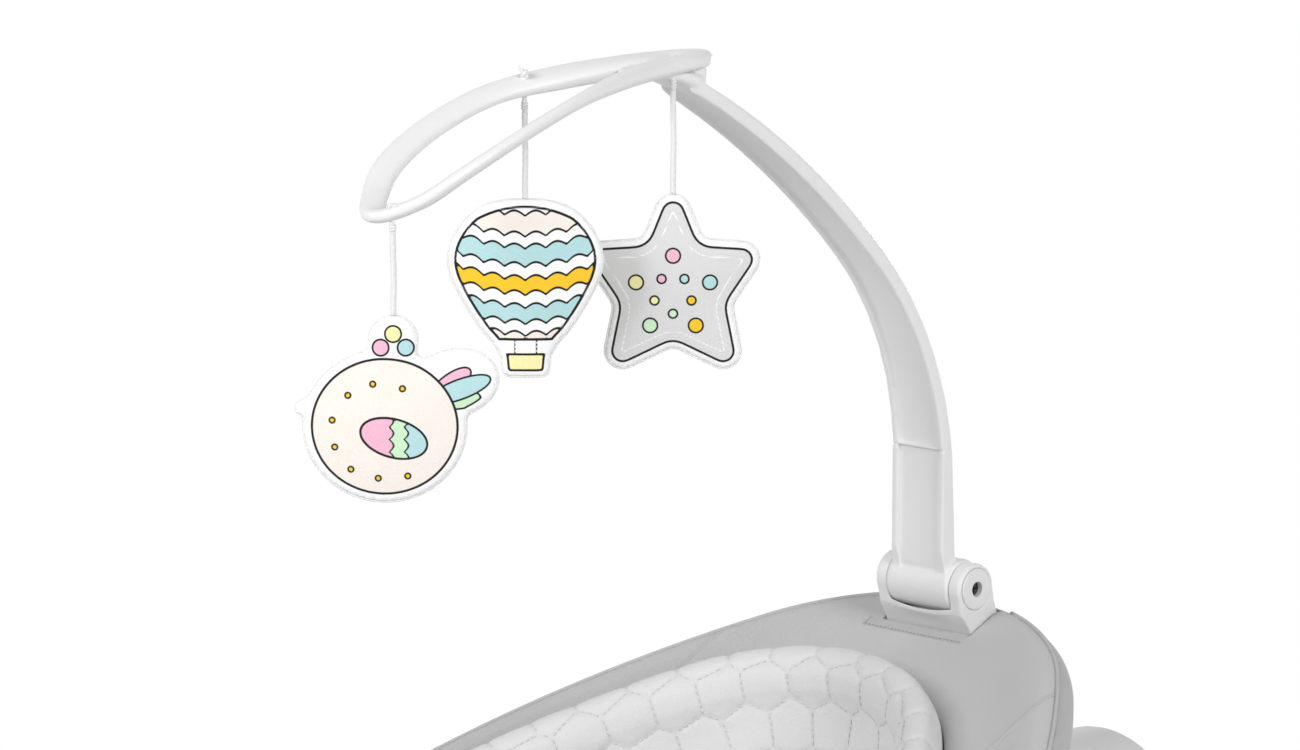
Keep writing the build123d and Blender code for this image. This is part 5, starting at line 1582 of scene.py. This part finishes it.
def swell(obj, pressure, cap_mm, voxel_mm=5.0, frames=20):
    """Remesh a closed mesh and blow it up as stuffed cloth, with each point's travel held to a cap."""
    voxel_remesh(obj, voxel_mm)
    start = get_points(obj.data)
    cloth = obj.modifiers.new("cloth", "CLOTH")
    cloth.settings.use_pressure = True
    cloth.settings.uniform_pressure_force = pressure
    cloth.settings.effector_weights.gravity = 0.0
    cloth.settings.mass = 0.25
    cloth.settings.tension_stiffness = 18
    cloth.settings.compression_stiffness = 18
    cloth.point_cache.frame_end = frames
    scene = bpy.context.scene
    for i in range(1, frames + 1):
        scene.frame_set(i)
    bake_modifiers(obj)
    scene.frame_set(1)
    travel = get_points(obj.data) - start
    size = np.linalg.norm(travel, axis=1, keepdims=True)
    set_points(obj.data, start + travel * np.minimum(1, cap_mm * MM / np.maximum(size, 1e-9)))
    subdivision = obj.modifiers.new("smooth", "SUBSURF")
    subdivision.levels = subdivision.render_levels = 1
    bake_modifiers(obj)


def make_pillow():
    """A small head pillow: two faces sewn round an oval, lying on the lining."""
    rows, columns = 19, 72
    half_x, half_u, half_n = PILLOW_HALF
    t = turns(columns)
    local = []
    for a in np.radians(np.linspace(-88, 88, rows)):
        flat = squarish(math.cos(a), PILLOW_POWER)
        local.append(np.stack([half_x * flat * np.cos(t), half_u * flat * np.sin(t),
                               np.full(columns, half_n * math.sin(a))], -1))
    x, u, n = np.vstack(local).T
    cos, sin = math.cos(PILLOW_LEAN), math.sin(PILLOW_LEAN)
    turned = np.stack([x, u * cos - n * sin, u * sin + n * cos], -1) + PILLOW_MIDDLE
    faces = ring_faces(rows, columns)
    obj = piece("head_cushion", seat_to_row(turned), faces, PILLOW_CLOTH, "seat", "pale_fabric")
    swell(obj, PILLOW_PRESSURE, PILLOW_SWELL)
    lining = lining_tree()
    up = Vector((0.0, -math.sin(SEAT_TILT), math.cos(SEAT_TILT)))
    for vertex in obj.data.vertices:
        seat = row_to_seat(np.array(vertex.co))
        found = drop_on(lining, seat[0], seat[1])
        if found is None:
            continue
        below = row_to_seat(found[0] * MM)[2] + PILLOW_GAP - seat[2]
        if below > 0:
            vertex.co += up * below * MM
    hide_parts("head_pillow")


STRAP_WIDTH = 25.0
STRAP_THICKNESS = 2.2
STRAP_X = 38.0
STRAP_TOP_U = 100.0
BUCKLE_U = -38.0
BUCKLE_HALF = (26.5, 23.5)
WAIST_END_X = 96.0
CROTCH_END_U = -118.0
SLOT_MARGIN = 2.5
SLOT_HALF = 2.4
SLOT_BINDING_R = 1.1
PAD_SIDES = 28


def surface_run(tree, ends, lift):
    """Points and normals on a mesh under a straight line from one (x, u) to another."""
    (x0, u0), (x1, u1) = ends
    steps = max(8, int(math.hypot(x1 - x0, u1 - u0) / 2.5))
    spots = [(x0 + (x1 - x0) * t, u0 + (u1 - u0) * t) for t in np.linspace(0, 1, steps)]
    at, up = drop_line(tree, spots, lift)
    for _ in range(4):
        for values in (at, up):
            values[1:-1] = 0.5 * values[1:-1] + 0.25 * (values[:-2] + values[2:])
    return at, unit(up)


def sideways(at, up):
    """Unit vectors across a line that lies on a surface."""
    return unit(np.cross(np.gradient(at, axis=0), up))


def make_straps():
    """Webbing from the buckle to its slots in the lining, with stitches and bound slots."""
    tree = lining_tree()
    buckle_x, buckle_u = BUCKLE_HALF
    shoulder = [((s * STRAP_X, BUCKLE_U + buckle_u), (s * STRAP_X, STRAP_TOP_U)) for s in (-1, 1)]
    waist = [((s * buckle_x, BUCKLE_U), (s * WAIST_END_X, BUCKLE_U)) for s in (-1, 1)]
    crotch = [((0.0, BUCKLE_U - buckle_u), (0.0, CROTCH_END_U))]
    groups = {
        "shoulder_webbing": ("shoulder_straps", shoulder, STRAP_WIDTH),
        "waist_webbing": ("waist_straps", waist, STRAP_WIDTH),
        "crotch_webbing": ("crotch_strap", crotch, STRAP_WIDTH + 8),
    }
    lines, slots = [], []
    for name, (stands_for, runs, width) in groups.items():
        parts = []
        for ends in runs:
            at, up = surface_run(tree, ends, SOFT_GAP)
            parts.append(ribbon(at, up, width, STRAP_THICKNESS))
            side = sideways(at, up)
            for off in (-0.36, 0.36):
                lines.append((at + up * (STRAP_THICKNESS + 0.02) + side * off * width, up))
            slots.append((at[-1], up[-1], side[-1], width))
        points, faces = join([(p, f) for p, f, _ in parts])
        uv = np.vstack([u for _, _, u in parts])
        obj = piece(name, points * MM, faces, WEBBING, "seat", "webbing", uv)
        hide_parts(stands_for)
    sew("webbing_stitching", lines, GREY_THREAD, "webbing", pitch=2.8, length=2.0, radius=0.34)
    bindings = []
    t = turns(48)
    for at, up, side, width in slots:
        across = np.outer(squarish(np.cos(t), 0.5) * (width / 2 + SLOT_MARGIN), side)
        along = np.outer(np.sin(t) * SLOT_HALF + 0.6, np.cross(up, side))
        bindings.append(tube(at + across + along + up * 0.7, SLOT_BINDING_R, 8, closed=True))
    piece("strap_slots", *mm_mesh(join(bindings)), PAD_CLOTH, "seat", "pale_fabric")


def make_strap_pads():
    """A padded sleeve on each shoulder strap."""
    tree = lining_tree()
    parts, lines = [], []
    middle_u, half, thickness, width = 52.0, 38.0, 7.0, STRAP_WIDTH + 8
    for side in (-1, 1):
        ends = (side * STRAP_X, middle_u - half), (side * STRAP_X, middle_u + half)
        at, up = surface_run(tree, ends, 2 * SOFT_GAP + STRAP_THICKNESS)
        share = np.linspace(-1, 1, len(at))
        narrow = np.sqrt(np.maximum(1 - np.abs(share) ** 7, 0.02))
        points, faces, _ = ribbon(at, up, width, thickness, PAD_SIDES, 2.4)
        rows = points.reshape(len(at), PAD_SIDES, 3)
        centre = at[:, None] + up[:, None] * thickness / 2
        rows = centre + (rows - centre) * narrow[:, None, None]
        parts.append((rows.reshape(-1, 3), faces))
        across = sideways(at, up)
        inner = slice(4, -4)
        for off in (-0.34, 0.34):
            lines.append(((at + up * (thickness * 0.88) + across * off * width)[inner], up[inner]))
    points, faces = join(parts)
    obj = piece("padded_strap_covers", points * MM, faces, PAD_CLOTH, "seat", "pale_fabric")
    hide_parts("strap_pads")
    sew("strap_cover_stitching", lines, PALE_THREAD, "pale_fabric", pitch=3.0, length=2.1, radius=0.4)


# Marks on the rear panel: plain dots round the speed knob, each larger than the last
DOT_COUNT = 7
DOT_RING = 29.0
# First dot's heading and the turn to the next, in degrees
DOT_HEADINGS = (225, -45)
# First dot's radius, and how much each next one has more
DOT_RADII = (0.9, 0.25)
# A dot's section: share of its radius, and height over the panel
DOT_ROWS = ((1.0, -0.3), (1.0, 0.12), (0.75, 0.25), (0.05, 0.3))
DOT_SIDES = 20


def mark_panel():
    knob_low, knob_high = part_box("speed_knob")
    centre = (knob_low + knob_high) / 2 / MM
    panel_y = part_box("control_panel")[1].y / MM
    parts = []
    t = turns(DOT_SIDES)
    for i in range(DOT_COUNT):
        turn = math.radians(DOT_HEADINGS[0] + DOT_HEADINGS[1] * i)
        at = np.array([centre.x - DOT_RING * math.cos(turn), panel_y, centre.z + DOT_RING * math.sin(turn)])
        rows = []
        for size, rise in DOT_ROWS:
            radius = size * (DOT_RADII[0] + DOT_RADII[1] * i)
            offset = np.stack([radius * np.cos(t), np.full(DOT_SIDES, rise), -radius * np.sin(t)], -1)
            rows.append(at + offset)
        parts.append((np.vstack(rows), ring_faces(len(DOT_ROWS), DOT_SIDES)))
    piece("panel_marks", *mm_mesh(join(parts)), SATIN, "base", "white_plastic")


set_camera()
light_scene()
lay_floor()
finish_cad_nodes()
tie_cords(mould_toy_bar())
for name in CORDS:
    sew_toy(name)
sew_cover()
sew_insert()
make_pillow()
make_straps()
make_strap_pads()
mark_panel()
